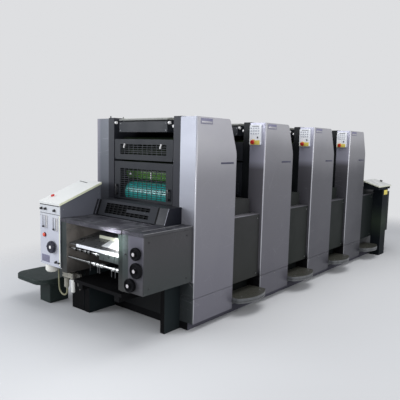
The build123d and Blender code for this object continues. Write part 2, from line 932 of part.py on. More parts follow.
def console_body():
    """The dark body of the console, with its sloping top."""
    profile = outline(
        [
            (delivery_front, console_bottom_z),
            (console_rear, console_bottom_z),
            (console_rear, console_rear_top_z),
            (delivery_front, console_front_top_z),
        ]
    )
    return along_y(profile, console_y)


def console_face():
    """The pale front plate with the boss of the regulator knob."""
    x = (delivery_front - console_face_thickness, delivery_front)
    top = lid_line(x[0])
    plate = along_x(
        outline(
            [
                (console_y[0], console_bottom_z),
                (console_y[1], console_bottom_z),
                (console_y[1], top),
                (console_y[0], top),
            ],
            {0: console_corner_radius, 1: console_corner_radius},
        ),
        x,
    )
    y, z = regulator_place
    return plate + rod_x(y, z, (x[0] - regulator_boss_length, x[0]), regulator_hub_radius)


def console_lid():
    """The sloping lid plate."""
    front = delivery_front - console_face_thickness - lid_overhang
    rear = console_rear + lid_overhang
    rise = lid_thickness / math.cos(math.radians(lid_slope()))
    profile = outline(
        [
            (front, lid_line(front)),
            (rear, lid_line(rear)),
            (rear, lid_line(rear) + rise),
            (front, lid_line(front) + rise),
        ]
    )
    return along_y(profile, (console_y[0] - lid_overhang, console_y[1] + lid_overhang))


def console_knobs():
    """The small fixed knobs on the console face."""
    face = delivery_front - console_face_thickness
    x = (face - small_knob_depth, face)
    return [rod_x(y, z, x, small_knob_radius) for y, z in small_knob_places]


def flow_meters():
    """The two upright flow meters on the console face."""
    face = delivery_front - console_face_thickness
    width, height = flow_meter_size
    solids = []
    for y, z in flow_meter_places:
        meter_y = (y - width / 2, y + width / 2)
        solids.append(block((face - flow_meter_depth, face), meter_y, (z - height / 2, z + height / 2)))
    return solids


def regulator_knob():
    """The large knob with its pointer nub."""
    y, z = regulator_place
    back = delivery_front - console_face_thickness - regulator_boss_length - running_gap
    front = back - regulator_depth
    dish = front + regulator_dish_depth
    profile = outline(
        [
            (back, 0),
            (back, regulator_radius),
            (front, regulator_radius),
            (front, regulator_dish_radius),
            (dish, regulator_dish_radius),
            (dish, 0),
        ],
        cuts={2: regulator_front_bevel},
    )
    nub_x = (front + regulator_front_bevel, back)
    return turned_x(y, z, profile) + rod_x(y + regulator_radius, z, nub_x, regulator_nub)


def powder_cup():
    """The pale cup under the console, rounded at the bottom."""
    x, y = cup_centre
    cup = rod_z(x, y, (cup_bottom_z, console_bottom_z), cup_radius)
    rim = cup.edges().filter_by(GeomType.CIRCLE).sort_by(Axis.Z)[0]
    return fillet(rim, cup_round)


def filter_bowl(x, y, bottom, radius):
    """A turned filter bowl with a rounded bottom and a collar at the top."""
    top = filter_block_z[0]
    collar = radius + bowl_collar
    collar_z = top - bowl_collar_height
    profile = outline(
        [(0, bottom), (radius, bottom), (radius, collar_z), (collar, collar_z), (collar, top), (0, top)],
        {1: bowl_round},
    )
    return turned_z(x, y, profile)


def air_filters():
    """The filter block on its bracket, with two bowls in front and one at the side."""
    half = filter_block_depth / 2
    block_x = (filter_x - half, filter_x + half)
    body = block(block_x, filter_block_y, filter_block_z)
    bracket_y = (filter_bracket_y - filter_bracket_width / 2, filter_bracket_y + filter_bracket_width / 2)
    body += block(block_x, bracket_y, (filter_block_z[1], console_bottom_z))
    for y, bottom, radius in bowl_places:
        body += filter_bowl(filter_x, y, bottom, radius)
    x, y, bottom, radius = side_bowl
    body += filter_bowl(x, y, bottom, radius)
    nipple_radius, nipple_length = side_nipple
    body += rod_z(x, y, (bottom - nipple_length, bottom), nipple_radius)
    arm_y = (y - radius / 2, filter_block_y[0])
    body += block((x - radius / 2, x + radius / 2), arm_y, filter_block_z)
    barb_top_z = bowl_places[0][1] + bowl_round
    barb_z = (bowl_places[0][1] - barb_length, barb_top_z)
    return body + rod_z(hose_x, barb_y, barb_z, barb_radius)


def hose_route():
    """The hose's hand-set points, from the console's gland to the first bowl."""
    return [(hose_x, y, z) for y, z in hose_points]


def corner_radii(points):
    """The largest arc that each corner of a route allows."""
    places = [Vector(*point) for point in points]
    radii = []
    for before, here, after in zip(places, places[1:], places[2:]):
        turn = math.radians((here - before).get_angle(after - here))
        shorter = min((here - before).length, (after - here).length)
        radii.append(hose_bend_share * shorter / math.tan(turn / 2))
    return radii


def air_hose():
    """The hose as a tube of straight runs and tangent arcs."""
    points = hose_route()
    radii = corner_radii(points)
    path = FilletPolyline(*points, radius=radii)
    print("hose radii", [round(radius) for radius in radii])
    start = path @ 0
    section = Plane(origin=start, z_dir=path % 0) * Circle(hose_radius)
    tube = sweep(section, path=path)
    print("hose volume share", tube.volume / (path.length * math.pi * hose_radius**2))
    print("hose length", path.length)
    return tube


def hose_gland():
    """The gland under the console that the hose leaves."""
    z = (console_bottom_z - gland_length, console_bottom_z)
    return rod_z(hose_x, hose_points[0][0], z, gland_radius)


def side_step():
    """A low step: a rounded board on a closed foot."""
    width = side_step_x[1] - side_step_x[0]
    depth = side_step_y[1] - side_step_y[0]
    centre = Pos((side_step_x[0] + side_step_x[1]) / 2, (side_step_y[0] + side_step_y[1]) / 2)
    plan = centre * RectangleRounded(width, depth, side_step_corner_radius)
    board_z = side_step_top_z - side_step_board
    board = along_z(plan, (board_z, side_step_top_z))
    step = fillet(board.edges().group_by(Axis.Z)[-1], side_step_edge_radius)
    foot = block(side_step_foot_x, side_step_foot_y, (0, board_z))
    return step + fillet(foot.edges().filter_by(Axis.Z), side_step_foot_round)


def feeder_frames():
    """The two side frames of the feeder."""
    x = (feeder_front, machine_rear_x)
    span = (feeder_frame_inner_y, cover_inner_y)
    z = (panel_foot_z, table_z)
    return [block(x, mirrored(span), z), block(x, span, z)]


def feeder_board():
    """The sloping feed board on the feeder frames."""
    profile = outline(
        [
            (feeder_front, table_z),
            (feeder_board_rear, table_z),
            (feeder_board_rear, feeder_board_rear_z),
            (feeder_front, feeder_board_front_z),
        ]
    )
    return along_y(profile, (-feeder_board_half_width, feeder_board_half_width))


def suction_head():
    """The suction head on its cross beam and two posts."""
    beam_z = (table_z, table_z + head_beam_height)
    head = block(head_beam_x, (-cover_inner_y, cover_inner_y), beam_z)
    for y in (head_post_y, mirrored(head_post_y)):
        head += block(head_beam_x, y, (beam_z[1], head_top_z - head_block_height))
    head_z = (head_top_z - head_block_height, head_top_z)
    body = block(head_block_x, (-head_half_width, head_half_width), head_z)
    head += fillet(body.edges().group_by(Axis.Z)[-1], head_edge_radius)
    for y in sucker_places:
        head += rod_z(sucker_x, y, (sucker_bottom_z, head_z[0]), sucker_stem_radius)
        cup_z = (sucker_bottom_z, sucker_bottom_z + sucker_cup_height)
        head += rod_z(sucker_x, y, cup_z, sucker_cup_radius)
    return head


def feeder_pile_board():
    """The feeder's pile board on two cross bars between the frames."""
    z = (feeder_pile_z, feeder_pile_z + pile_board_thickness)
    half = feeder_pile_half_width
    board = block(feeder_pile_x, (-half, half), z)
    bar_y = (-feeder_frame_inner_y, feeder_frame_inner_y)
    for x in feeder_bar_places:
        bar_x = (x - lift_arm_width / 2, x + lift_arm_width / 2)
        board += block(bar_x, bar_y, (feeder_pile_z - feeder_bar_height, feeder_pile_z))
    return board


def feeder_console():
    """The pedestal beside the feeder and the head box on it."""
    pedestal = block(pedestal_x, (pedestal_outer_y, -cover_outer_y), (0, head_low_z))
    profile = outline(
        [
            (head_y[0], head_low_z),
            (head_y[1], head_low_z),
            (head_y[1], head_back_z),
            (head_y[0], head_front_z),
        ]
    )
    return pedestal + along_x(profile, head_x)


def feeder_console_lid():
    """The pale sloping lid of the feeder console."""
    slope = (head_back_z - head_front_z) / (head_y[1] - head_y[0])
    front = head_y[0] - head_lid_overhang
    back = head_y[1] + head_lid_overhang
    front_z = head_front_z - slope * head_lid_overhang
    back_z = head_back_z + slope * head_lid_overhang
    profile = outline(
        [
            (front, front_z),
            (back, back_z),
            (back, back_z + head_lid_thickness),
            (front, front_z + head_lid_thickness),
        ]
    )
    return along_x(profile, (head_x[0] - head_lid_overhang, head_x[1] + head_lid_overhang))


os.makedirs("parts", exist_ok=True)

save("base_frame", base_frame())
save("operator_panels", *side_panels(-1))
save("drive_panels", *side_panels(1))
save("unit_frames", *unit_frames())
save("unit_walls", *unit_walls())
save("ink_ducts", *[ink_duct(front) for front in unit_fronts])
save("duct_end_knobs", *duct_end_knobs())
save("upper_guard", upper_guard(first_front, guard_columns))
save("lower_guard", lower_guard(first_front, guard_columns))
rear_guards = [upper_guard(front, rear_guard_columns) for front in unit_fronts[1:]]
rear_guards += [lower_guard(front, rear_guard_columns) for front in unit_fronts[1:]]
save("rear_unit_guards", *rear_guards)
save("blanket_cylinder", blanket_cylinder(first_front))
save("plate_cylinder", plate_cylinder(first_front))
rear_cylinders = [blanket_cylinder(front) for front in unit_fronts[1:]]
rear_cylinders += [plate_cylinder(front) for front in unit_fronts[1:]]
save("rear_unit_cylinders", *rear_cylinders)
save("ink_rollers", *ink_rollers())
save("unit_control_panels", *unit_control_panels())
save("stop_buttons", *stop_buttons())
save("lower_covers", *lower_covers())
save("transfer_housings", *transfer_housings())
save("foot_steps", *[foot_step(front + panel_length) for front in unit_fronts])
save("delivery_housing", delivery_housing())
save("delivery_frames", *delivery_frames())
save("delivery_legs", *delivery_legs())
save("delivery_table", delivery_table())
save("delivery_cover", delivery_cover())
save("delivery_hood", delivery_hood())
save("hood_end_covers", *hood_end_covers())
save("sheet_guide", sheet_guide())
save("sheet_stops", *sheet_stops())
save("delivery_pile_board", delivery_pile_board())
for number, place in enumerate(handwheel_places, start=1):
    save("handwheel_" + str(number), handwheel(place))
save("console_body", console_body())
save("console_face", console_face())
save("console_lid", console_lid())
save("console_knobs", *console_knobs())
save("flow_meters", *flow_meters())
save("regulator_knob", regulator_knob())
save("powder_cup", powder_cup())
save("air_filters", air_filters())
save("hose_gland", hose_gland())
save("air_hose", air_hose())
save("side_step", side_step())
save("feeder_frames", *feeder_frames())
save("feeder_board", feeder_board())
save("suction_head", suction_head())
save("feeder_pile_board", feeder_pile_board())
save("feeder_console", feeder_console())
save("feeder_console_lid", feeder_console_lid())
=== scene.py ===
import math

import bmesh
import bpy
from mathutils import Matrix, Vector


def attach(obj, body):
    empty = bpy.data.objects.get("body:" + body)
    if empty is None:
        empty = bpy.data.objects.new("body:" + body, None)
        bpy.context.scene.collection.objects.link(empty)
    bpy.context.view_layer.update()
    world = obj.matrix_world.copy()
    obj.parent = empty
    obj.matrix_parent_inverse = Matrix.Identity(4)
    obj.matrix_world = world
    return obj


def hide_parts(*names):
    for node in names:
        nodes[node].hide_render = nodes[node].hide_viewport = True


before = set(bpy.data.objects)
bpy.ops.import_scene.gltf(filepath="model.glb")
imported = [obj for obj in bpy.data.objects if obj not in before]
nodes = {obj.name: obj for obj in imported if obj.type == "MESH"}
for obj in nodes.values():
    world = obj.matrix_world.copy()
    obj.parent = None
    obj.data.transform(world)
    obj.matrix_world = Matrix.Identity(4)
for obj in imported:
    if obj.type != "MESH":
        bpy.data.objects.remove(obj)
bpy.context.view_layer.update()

scene = bpy.context.scene

# Places on the press, in metres. The delivery is at -X, the operator at -Y.
X, Y, Z = Vector((1, 0, 0)), Vector((0, 1, 0)), Vector((0, 0, 1))
sides = (-1, 1)
unit_pitch = 0.89
unit_fronts = [-1.335 + unit_pitch * index for index in range(4)]
first_front = unit_fronts[0]
panel_length = 0.481
panel_face = 0.5565
cover_face = 0.527
delivery_front = -1.818
console_front = -1.824
console_lid_slope = math.atan2(0.144, 0.383)
filter_x = -1.690
handwheels = [(-0.483, 0.656, 0.043), (-0.489, 0.546, 0.052), (-0.430, 0.437, 0.047)]


# Camera at the photograph's place and angle

def look(place, yaw, pitch, roll, lens):
    """A camera that looks from a place at the given angles in degrees."""
    yaw, pitch, roll = (math.radians(angle) for angle in (yaw, pitch, roll))
    ahead = Vector((math.cos(yaw) * math.cos(pitch), math.sin(yaw) * math.cos(pitch), math.sin(pitch)))
    right = Vector((math.sin(yaw), -math.cos(yaw), 0))
    up = right.cross(ahead)
    side = right * math.cos(roll) + up * math.sin(roll)
    top = up * math.cos(roll) - right * math.sin(roll)
    camera = bpy.data.objects.new("press_camera", bpy.data.cameras.new("press_camera"))
    scene.collection.objects.link(camera)
    camera.matrix_world = Matrix.Translation(place) @ Matrix((side, top, -ahead)).transposed().to_4x4()
    camera.data.lens = lens
    camera.data.sensor_width = 36
    camera.data.clip_end = 60
    scene.camera = camera


look((-3.865, -2.70678, 1.36227), 39.824, -6.581, 1.3315, 42.453)
scene.view_settings.view_transform = "Standard"


# Node groups that several finishes share

def add(tree, kind, inputs=None, **settings):
    """The outputs of a new shader node. Each input is a value or an output of another node."""
    made = tree.nodes.new(kind)
    for key, value in settings.items():
        setattr(made, key, value)
    for key, value in (inputs or {}).items():
        if isinstance(value, bpy.types.NodeSocket):
            tree.links.new(value, made.inputs[key])
        else:
            made.inputs[key].default_value = value
    return made.outputs


def new_group(name, output, **inputs):
    """A group with one number output, and the vector and the numbers that it is given."""
    tree = bpy.data.node_groups.new(name, "ShaderNodeTree")
    tree.interface.new_socket("Vector", in_out="INPUT", socket_type="NodeSocketVector")
    for label, value in inputs.items():
        socket = tree.interface.new_socket(label, in_out="INPUT", socket_type="NodeSocketFloat")
        socket.default_value = value
    tree.interface.new_socket(output, in_out="OUTPUT", socket_type="NodeSocketFloat")
    return tree, add(tree, "NodeGroupInput")


def paint_grain_group():
    """The fine orange peel of sprayed paint, as a height."""
    tree, given = new_group("paint_grain", "Height", Scale=400.0)
    fine = add(tree, "ShaderNodeTexNoise",
               {"Vector": given["Vector"], "Scale": given["Scale"], "Detail": 3.0, "Roughness": 0.6})
    add(tree, "NodeGroupOutput", {"Height": fine["Fac"]})
    return tree


def smudge_group():
    """Soft uneven patches of handling marks, as a mask."""
    tree, given = new_group("smudges", "Mask", Scale=6.0, Low=0.4, High=0.7)
    cloud = add(tree, "ShaderNodeTexNoise", {
        "Vector": given["Vector"], "Scale": given["Scale"], "Detail": 6.0, "Roughness": 0.62, "Distortion": 0.5})
    spread = add(tree, "ShaderNodeMapRange", {
        "Value": cloud["Fac"], "From Min": given["Low"], "From Max": given["High"]},
        interpolation_type="SMOOTHSTEP")
    add(tree, "NodeGroupOutput", {"Mask": spread["Result"]})
    return tree


def height_shade_group():
    """A soft change from one height to another, uneven at its edge, as a mask."""
    tree, given = new_group("height_shade", "Mask", Start=0.0, End=1.5)
    split = add(tree, "ShaderNodeSeparateXYZ", {"Vector": given["Vector"]})
    cloud = add(tree, "ShaderNodeTexNoise", {"Vector": given["Vector"], "Scale": 2.5, "Detail": 3.0})
    shift = add(tree, "ShaderNodeMath", {0: cloud["Fac"], 1: 0.12, 2: split["Z"]}, operation="MULTIPLY_ADD")
    spread = add(tree, "ShaderNodeMapRange", {
        "Value": shift["Value"], "From Min": given["Start"], "From Max": given["End"]},
        interpolation_type="SMOOTHSTEP")
    add(tree, "NodeGroupOutput", {"Mask": spread["Result"]})
    return tree


def brushed_group():
    """Fine lines along one axis, as a mask."""
    tree, given = new_group("brushed_lines", "Mask", Scale=60.0)
    stretch = add(tree, "ShaderNodeMapping", {"Vector": given["Vector"], "Scale": (20.0, 0.6, 20.0)})
    fine = add(tree, "ShaderNodeTexNoise",
               {"Vector": stretch["Vector"], "Scale": given["Scale"], "Detail": 5.0, "Roughness": 0.7})
    add(tree, "NodeGroupOutput", {"Mask": fine["Fac"]})
    return tree


def scratch_group():
    """Thin stray scratches in two directions, in patches, as a mask."""
    tree, given = new_group("scratches", "Mask", Scale=30.0, Width=0.02)
    found = {}
    for index, turn in enumerate(((0.3, 0.5, 0.35), (-0.4, 0.2, -0.6))):
        leaning = add(tree, "ShaderNodeMapping",
                      {"Vector": given["Vector"], "Rotation": turn, "Scale": (1.0, 0.12, 1.0)})
        cells = add(tree, "ShaderNodeTexVoronoi", {
            "Vector": leaning["Vector"], "Scale": given["Scale"], "Randomness": 1.0}, feature="DISTANCE_TO_EDGE")
        found[index] = add(tree, "ShaderNodeMapRange", {
            "Value": cells["Distance"], "From Min": 0.0, "From Max": given["Width"], "To Min": 1.0,
            "To Max": 0.0})["Result"]
    either = add(tree, "ShaderNodeMath", found, operation="MAXIMUM")
    cloud = add(tree, "ShaderNodeTexNoise", {"Vector": given["Vector"], "Scale": 7.0, "Detail": 2.0})
    keep = add(tree, "ShaderNodeMapRange", {"Value": cloud["Fac"], "From Min": 0.5, "From Max": 0.62})
    cut = add(tree, "ShaderNodeMath", {0: either["Value"], 1: keep["Result"]}, operation="MULTIPLY")
    add(tree, "NodeGroupOutput", {"Mask": cut["Value"]})
    return tree


paint_grain = paint_grain_group()
smudges = smudge_group()
height_shade = height_shade_group()
brushed_lines = brushed_group()
scratches = scratch_group()


# Masks: each is a function that builds its nodes in a finish

def along(axis, low, high):
    """Grows from 0 to 1 as the place along an axis goes from low to high."""
    return lambda finish: finish.measured(finish.place, axis, low, high)


def facing(axis, low=0.55, high=0.85):
    """Is 1 on faces that look along an axis."""
    return lambda finish: finish.measured(finish.normal(), axis, low, high)


def pattern(tree, **values):
    """Comes from a shared group."""
    return lambda finish: finish.group(tree, **values)


def shade(start, end):
    return pattern(height_shade, Start=start, End=end)


def patches(scale, low, high):
    return pattern(smudges, Scale=scale, Low=low, High=high)


def scratched(scale, width):
    return pattern(scratches, Scale=scale, Width=width)


def lines(scale):
    return pattern(brushed_lines, Scale=scale)


class Finish:
    """A material whose colour is built up in layers on Object coordinates."""

    def __init__(self, name, colour, roughness, metallic=0.0, coat=0.0, coat_roughness=0.12, specular=0.5):
        self.material = bpy.data.materials.new(name)
        self.material.use_nodes = True
        self.tree = self.material.node_tree
        self.shader = self.tree.nodes["Principled BSDF"]
        self.place = add(self.tree, "ShaderNodeTexCoord")["Object"]
        self.top = (*colour, 1.0)
        for label, value in (("Base Color", self.top), ("Roughness", roughness), ("Metallic", metallic),
                             ("Coat Weight", coat), ("Coat Roughness", coat_roughness),
                             ("Specular IOR Level", specular)):
            self.shader.inputs[label].default_value = value

    def show(self, output, label):
        """Links an output to an input of the shader."""
        self.tree.links.new(output, self.shader.inputs[label])

    def normal(self):
        return add(self.tree, "ShaderNodeNewGeometry")["Normal"]

    def group(self, tree, **values):
        """A shared group on this finish's coordinates."""
        return add(self.tree, "ShaderNodeGroup", {"Vector": self.place, **values}, node_tree=tree)[0]

    def measured(self, vector, axis, low, high):
        """Goes from 0 to 1 as a vector's length along an axis goes from low to high."""
        dot = add(self.tree, "ShaderNodeVectorMath", {0: vector, 1: axis}, operation="DOT_PRODUCT")
        return add(self.tree, "ShaderNodeMapRange",
                   {"Value": dot["Value"], "From Min": low, "From Max": high})["Result"]

    def where_all(self, masks):
        """The product of some masks."""
        whole, *others = [mask(self) for mask in masks]
        for other in others:
            whole = add(self.tree, "ShaderNodeMath", {0: whole, 1: other}, operation="MULTIPLY")["Value"]
        return whole

    def layer(self, colour, amount, *masks):
        """Lays another colour over what is there, where all of the masks are."""
        share = add(self.tree, "ShaderNodeMath", {0: self.where_all(masks), 1: amount}, operation="MULTIPLY")
        self.top = add(self.tree, "ShaderNodeMix", {0: share["Value"], 6: self.top, 7: (*colour, 1.0)},
                       data_type="RGBA")[2]
        self.show(self.top, "Base Color")

    def gloss(self, low, high, *masks):
        """Roughness that goes from low to high with the masks."""
        spread = {"Value": self.where_all(masks), "To Min": low, "To Max": high}
        self.show(add(self.tree, "ShaderNodeMapRange", spread)["Result"], "Roughness")

    def bump(self, strength, distance, *masks):
        """A fine relief with the masks as its height."""
        relief = {"Height": self.where_all(masks), "Strength": strength, "Distance": distance}
        self.show(add(self.tree, "ShaderNodeBump", relief)["Normal"], "Normal")


def painted(name, colour, worn, roughness, marks, amount, *layers, **more):
    """Sprayed paint with faint handling marks and orange peel, and further layers on top."""
    made = Finish(name, colour, roughness, **more)
    handled = patches(marks, 0.35, 0.75)
    made.layer(worn, amount, handled)
    made.gloss(roughness - 0.05, roughness + 0.1, handled)
    made.bump(0.05, 0.001, pattern(paint_grain, Scale=500.0))
    for layer in layers:
        made.layer(*layer)
    return made


def brushed(name, colour, roughness, low, high, scale, *layers):
    """Bare metal with fine lines in its gloss."""
    made = Finish(name, colour, roughness, metallic=1.0)
    for layer in layers:
        made.layer(*layer)
    made.gloss(low, high, lines(scale))
    return made


def dust_and_top_light(colour, amount=0.35):
    """A paler layer in patches on faces that look up: dust, and where it is strong, painted light on the tops."""
    return colour, amount, facing(Z), patches(5.0, 0.3, 0.7)


# Units: silver panels with painted shade, darker towards the foot, and front strips on the operator side painted
# pale as lit
front, left_side = facing(-X), facing(-Y)
strip = (front, along(-Y, 0.0, 0.1))
first_unit, later_units = along(-X, 1.0, 1.2), along(X, -0.7, -0.5)
silver = painted(
    "silver_panel_paint", (0.40, 0.395, 0.41), (0.34, 0.335, 0.37), 0.34, 1.6, 0.6,
    # Painted shade: darker towards the foot, and more so high up on units 2 to 4
    ((0.17, 0.165, 0.205), 0.9, shade(1.45, 0.1)),
    ((0.10, 0.097, 0.115), 0.46, shade(1.46, 1.12)),
    ((0.030, 0.029, 0.036), 0.44, later_units, shade(1.60, 1.38)),
    # Painted light on the operator-side front strips: a painted reflection above 1.2 m and a painted highlight
    # down the first unit's strip
    ((0.16, 0.155, 0.175), 0.8, *strip),
    ((0.50, 0.50, 0.60), 0.75, *strip, along(Z, 1.17, 1.24)),
    ((0.330, 0.340, 0.385), 1.0, *strip, first_unit, along(Z, 0.60, 1.02)),
    # Painted shade on the drive side's front above 1.06 m, and on the far units
    ((0.022, 0.026, 0.033), 0.62, along(Y, 0.20, 0.30), along(X, -1.28, -1.30), along(Z, 0.92, 1.06)),
    ((0.024, 0.025, 0.030), 0.40, along(X, 0.1, 0.5), shade(1.34, 1.06)),
    ((0.024, 0.025, 0.030), 0.60, along(X, 1.1, 1.7), shade(1.34, 1.06)),
    # A painted highlight down the rounded front corners
    ((0.66, 0.665, 0.70), 0.75, facing((-0.707, -0.707, 0), 0.9, 0.97)),
    # Painted shade at the foot of the operator-side front strips
    ((0.036, 0.043, 0.044), 0.95, *strip, first_unit, along(-Z, -0.372, -0.368)),
    ((0.004, 0.004, 0.005), 0.97, *strip, later_units, along(-Z, -0.32, -0.25)),
    # Painted shade on the drive-side fronts, with a painted highlight along their outer edge
    ((0.070, 0.077, 0.092), 0.92, front, along(Y, 0.0, 0.1)),
    ((0.20, 0.19, 0.23), 0.8, front, along(Y, 0.50, 0.556)),
    ((0.5, 0.5, 0.52), 0.25, scratched(6.0, 0.004)), metallic=0.35)
frame_paint = painted(
    "frame_paint", (0.021, 0.022, 0.028), (0.030, 0.032, 0.04), 0.45, 5.0, 0.6, dust_and_top_light((0.07, 0.07, 0.075)),
    # Painted shade: the frames of units 2 to 4 are nearly black
    ((0.0045, 0.006, 0.0065), 0.9, along(X, -0.8, -0.7)), specular=0.22)
wall_paint = painted(
    "unit_wall_paint", (0.007, 0.008, 0.009), (0.012, 0.013, 0.014), 0.5, 5.0, 0.6, specular=0.2)
guard_paint = painted(
    "guard_paint", (0.0165, 0.0185, 0.0225), (0.024, 0.026, 0.031), 0.45, 7.0, 0.6,
    # Painted shade on the faces that look back along +X
    ((0.006, 0.006, 0.007), 0.8, facing(X)), specular=0.2)
duct_paint = painted(
    "ink_duct_paint", (0.0155, 0.0175, 0.022), (0.023, 0.026, 0.031), 0.42, 6.0, 0.6,
    # Painted light on the duct's top: pale on faces that look up, with a painted highlight above 1.5465 m
    dust_and_top_light((0.20, 0.205, 0.19), 0.8), ((0.26, 0.265, 0.245), 0.9, along(Z, 1.5465, 1.5485)), specular=0.2)
cover_paint = painted(
    "low_cover_paint", (0.040, 0.040, 0.040), (0.030, 0.032, 0.031), 0.4, 2.5, 0.7,
    # Painted shade: darker towards the foot, darker for units 2 to 4 and beside the feeder, and nearly black below
    # 0.5 m behind the operator-side faces
    ((0.030, 0.032, 0.028), 0.6, shade(0.75, 0.2)),
    ((0.008, 0.012, 0.009), 0.45, along(X, -0.1, 0.1)),
    ((0.006, 0.010, 0.009), 0.35, along(X, 0.9, 1.0)),
    ((0.003, 0.004, 0.004), 0.95, along(Y, -0.50, -0.48), along(Z, 0.6, 0.5)),
    ((0.010, 0.013, 0.013), 0.8, along(X, 1.80, 1.84)), specular=0.05)
plinth_paint = painted(
    "plinth_paint", (0.0045, 0.0045, 0.0055), (0.008, 0.008, 0.009), 0.6, 6.0, 0.6,
    # Painted light: the side that looks along -Y is much lighter than the other faces
    ((0.085, 0.083, 0.105), 0.9, left_side), specular=0.1)

# Delivery
end_paint = painted(
    "hood_end_paint", (0.016, 0.017, 0.021), (0.024, 0.025, 0.03), 0.45, 6.0, 0.6,
    # Painted shade on the sides that look along -Y
    ((0.006, 0.007, 0.013), 0.9, left_side), specular=0.2)
housing_paint = painted(
    "housing_paint", (0.046, 0.045, 0.048), (0.036, 0.036, 0.038), 0.42, 2.5, 0.7,
    # Painted light: the front faces are lighter; painted shade: the sides are darker and greener towards the
    # bottom
    ((0.100, 0.098, 0.124), 0.85, facing(-X, 0.3, 0.9), along(Z, 0.36, 0.74)),
    ((0.026, 0.033, 0.032), 0.8, left_side, along(-Z, -0.70, -0.38)),
    ((0.16, 0.16, 0.17), 0.35, scratched(9.0, 0.006)), specular=0.3)
table_paint = painted(
    "table_paint", (0.034, 0.034, 0.042), (0.068, 0.068, 0.078), 0.46, 9.0, 0.7,
    ((0.085, 0.09, 0.10), 0.6, patches(9.0, 0.50, 0.66)),
    ((0.008, 0.009, 0.012), 0.9, patches(27.0, 0.50, 0.60)),
    ((0.042, 0.04, 0.052), 0.6, front),
    ((0.044, 0.044, 0.047), 0.95, left_side),
    # A painted highlight along the top edge of the sides
    ((0.24, 0.24, 0.25), 0.7, left_side, along(Z, 0.784, 0.787)),
    ((0.22, 0.22, 0.23), 0.5, scratched(16.0, 0.01)), specular=0.3)

# The hood's face: outward and up along it. The lattice area is painted near black between its rows, as the shade
# in the grille's openings, but for a plain band.
outward, upward = (-0.93397, 0.0, 0.35735), (0.35735, 0.0, 0.93397)
lattice = (facing(outward, 0.9, 0.98), along(upward, 0.2245, 0.2255), along(upward, 0.3087, 0.3077),
           along(Y, -0.247, -0.245), along(Y, 0.247, 0.245))
plain_band = (along(upward, 0.2535, 0.2545), along(upward, 0.2797, 0.2787), along(Y, 0.0, -0.002))
hood_paint = painted(
    "hood_paint", (0.030, 0.032, 0.037), (0.041, 0.043, 0.049), 0.55, 7.0, 0.6,
    # Painted shade: nearly black in the recesses just behind the hood's face
    ((0.003, 0.003, 0.004), 1.0, along(outward, 1.6969, 1.6961), along(outward, 1.677, 1.680),
     along(Z, 0.909, 0.907)),
    ((0.0040, 0.0045, 0.005), 0.93, *lattice),
    ((0.033, 0.035, 0.040), 1.0, *lattice, *plain_band), specular=0.04)

inside_paint = painted(
    "inside_paint", (0.022, 0.030, 0.030), (0.034, 0.042, 0.04), 0.45, 6.0, 0.6,
    # Painted light: the inner faces that look along -Y are light grey-brown, with streaks in patches
    ((0.23, 0.21, 0.19), 0.9, left_side),
    ((0.12, 0.11, 0.10), 0.7, left_side, patches(11.0, 0.4, 0.62)),
    # Painted shade: a dark band on the flange's front, and darker towards the bottom
    ((0.003, 0.007, 0.0055), 0.9, front, along(Y, -0.331, -0.328), along(-Y, 0.0, 0.05)),
    ((0.028, 0.027, 0.026), 0.85, shade(0.60, 0.42)), specular=0.3)
deep_paint = painted(
    "deep_black_paint", (0.0025, 0.0025, 0.003), (0.005, 0.005, 0.0055), 0.65, 6.0, 0.6, specular=0.08)
leg_paint = painted(
    "leg_paint", (0.0025, 0.0025, 0.003), (0.005, 0.005, 0.0055), 0.6, 6.0, 0.6,
    # Painted light: the sides that look along -Y are lighter
    ((0.016, 0.022, 0.024), 0.9, left_side), specular=0.08)
bar_side = along(-X, 1.7905, 1.7915)
guide_steel = painted(
    "guide_plate_steel", (0.13, 0.135, 0.14), (0.07, 0.072, 0.075), 0.3, 12.0, 0.8,
    # A painted highlight: the bar's front is near white above 0.59 m; painted shade: the plate is darker and
    # greener below 0.588 m
    ((0.88, 0.90, 0.94), 1.0, bar_side),
    ((0.10, 0.105, 0.11), 1.0, bar_side, along(-Z, -0.592, -0.590)),
    ((0.040, 0.052, 0.048), 0.9, along(-Z, -0.592, -0.588)), metallic=0.3)
step_board = painted(
    "step_board_paint", (0.015, 0.023, 0.021), (0.028, 0.038, 0.035), 0.55, 16.0, 0.7,
    ((0.2, 0.21, 0.2), 0.4, scratched(12.0, 0.008)), specular=0.2)

# Console and feeder
white_paint = painted("console_white_paint", (0.68, 0.69, 0.67), (0.60, 0.61, 0.59), 0.38, 5.0, 0.35)
lid_paint = painted(
    "console_lid_paint", (0.66, 0.67, 0.65), (0.60, 0.61, 0.59), 0.42, 5.0, 0.35,
    ((0.80, 0.82, 0.58), 0.9, left_side), specular=0.3)
face_paint = painted(
    "console_face_paint", (0.50, 0.515, 0.575), (0.45, 0.46, 0.52), 0.42, 5.0, 0.35,
    ((0.60, 0.62, 0.62), 0.8, along(Z, 0.70, 0.88)), specular=0.3)
console_dark = painted(
    "console_dark_paint", (0.120, 0.125, 0.150), (0.090, 0.096, 0.118), 0.42, 4.0, 0.6,
    # Painted shade: darker and greener towards the bottom
    ((0.016, 0.022, 0.021), 0.8, shade(0.85, 0.62)), specular=0.3)
feeder_paint = painted(
    "feeder_paint", (0.03, 0.034, 0.036), (0.045, 0.049, 0.05), 0.45, 5.0, 0.6, dust_and_top_light((0.09, 0.09, 0.092)),
    # Painted shade: the front faces are nearly black below 0.28 m
    ((0.004, 0.004, 0.005), 0.95, front, along(-Z, -0.32, -0.28)), specular=0.3)
pedestal_paint = painted(
    "pedestal_paint", (0.007, 0.009, 0.012), (0.012, 0.016, 0.016), 0.55, 5.0, 0.6,
    ((0.026, 0.036, 0.026), 0.9, along(Z, 0.22, 0.42), along(-Z, -0.66, -0.46)), specular=0.05)
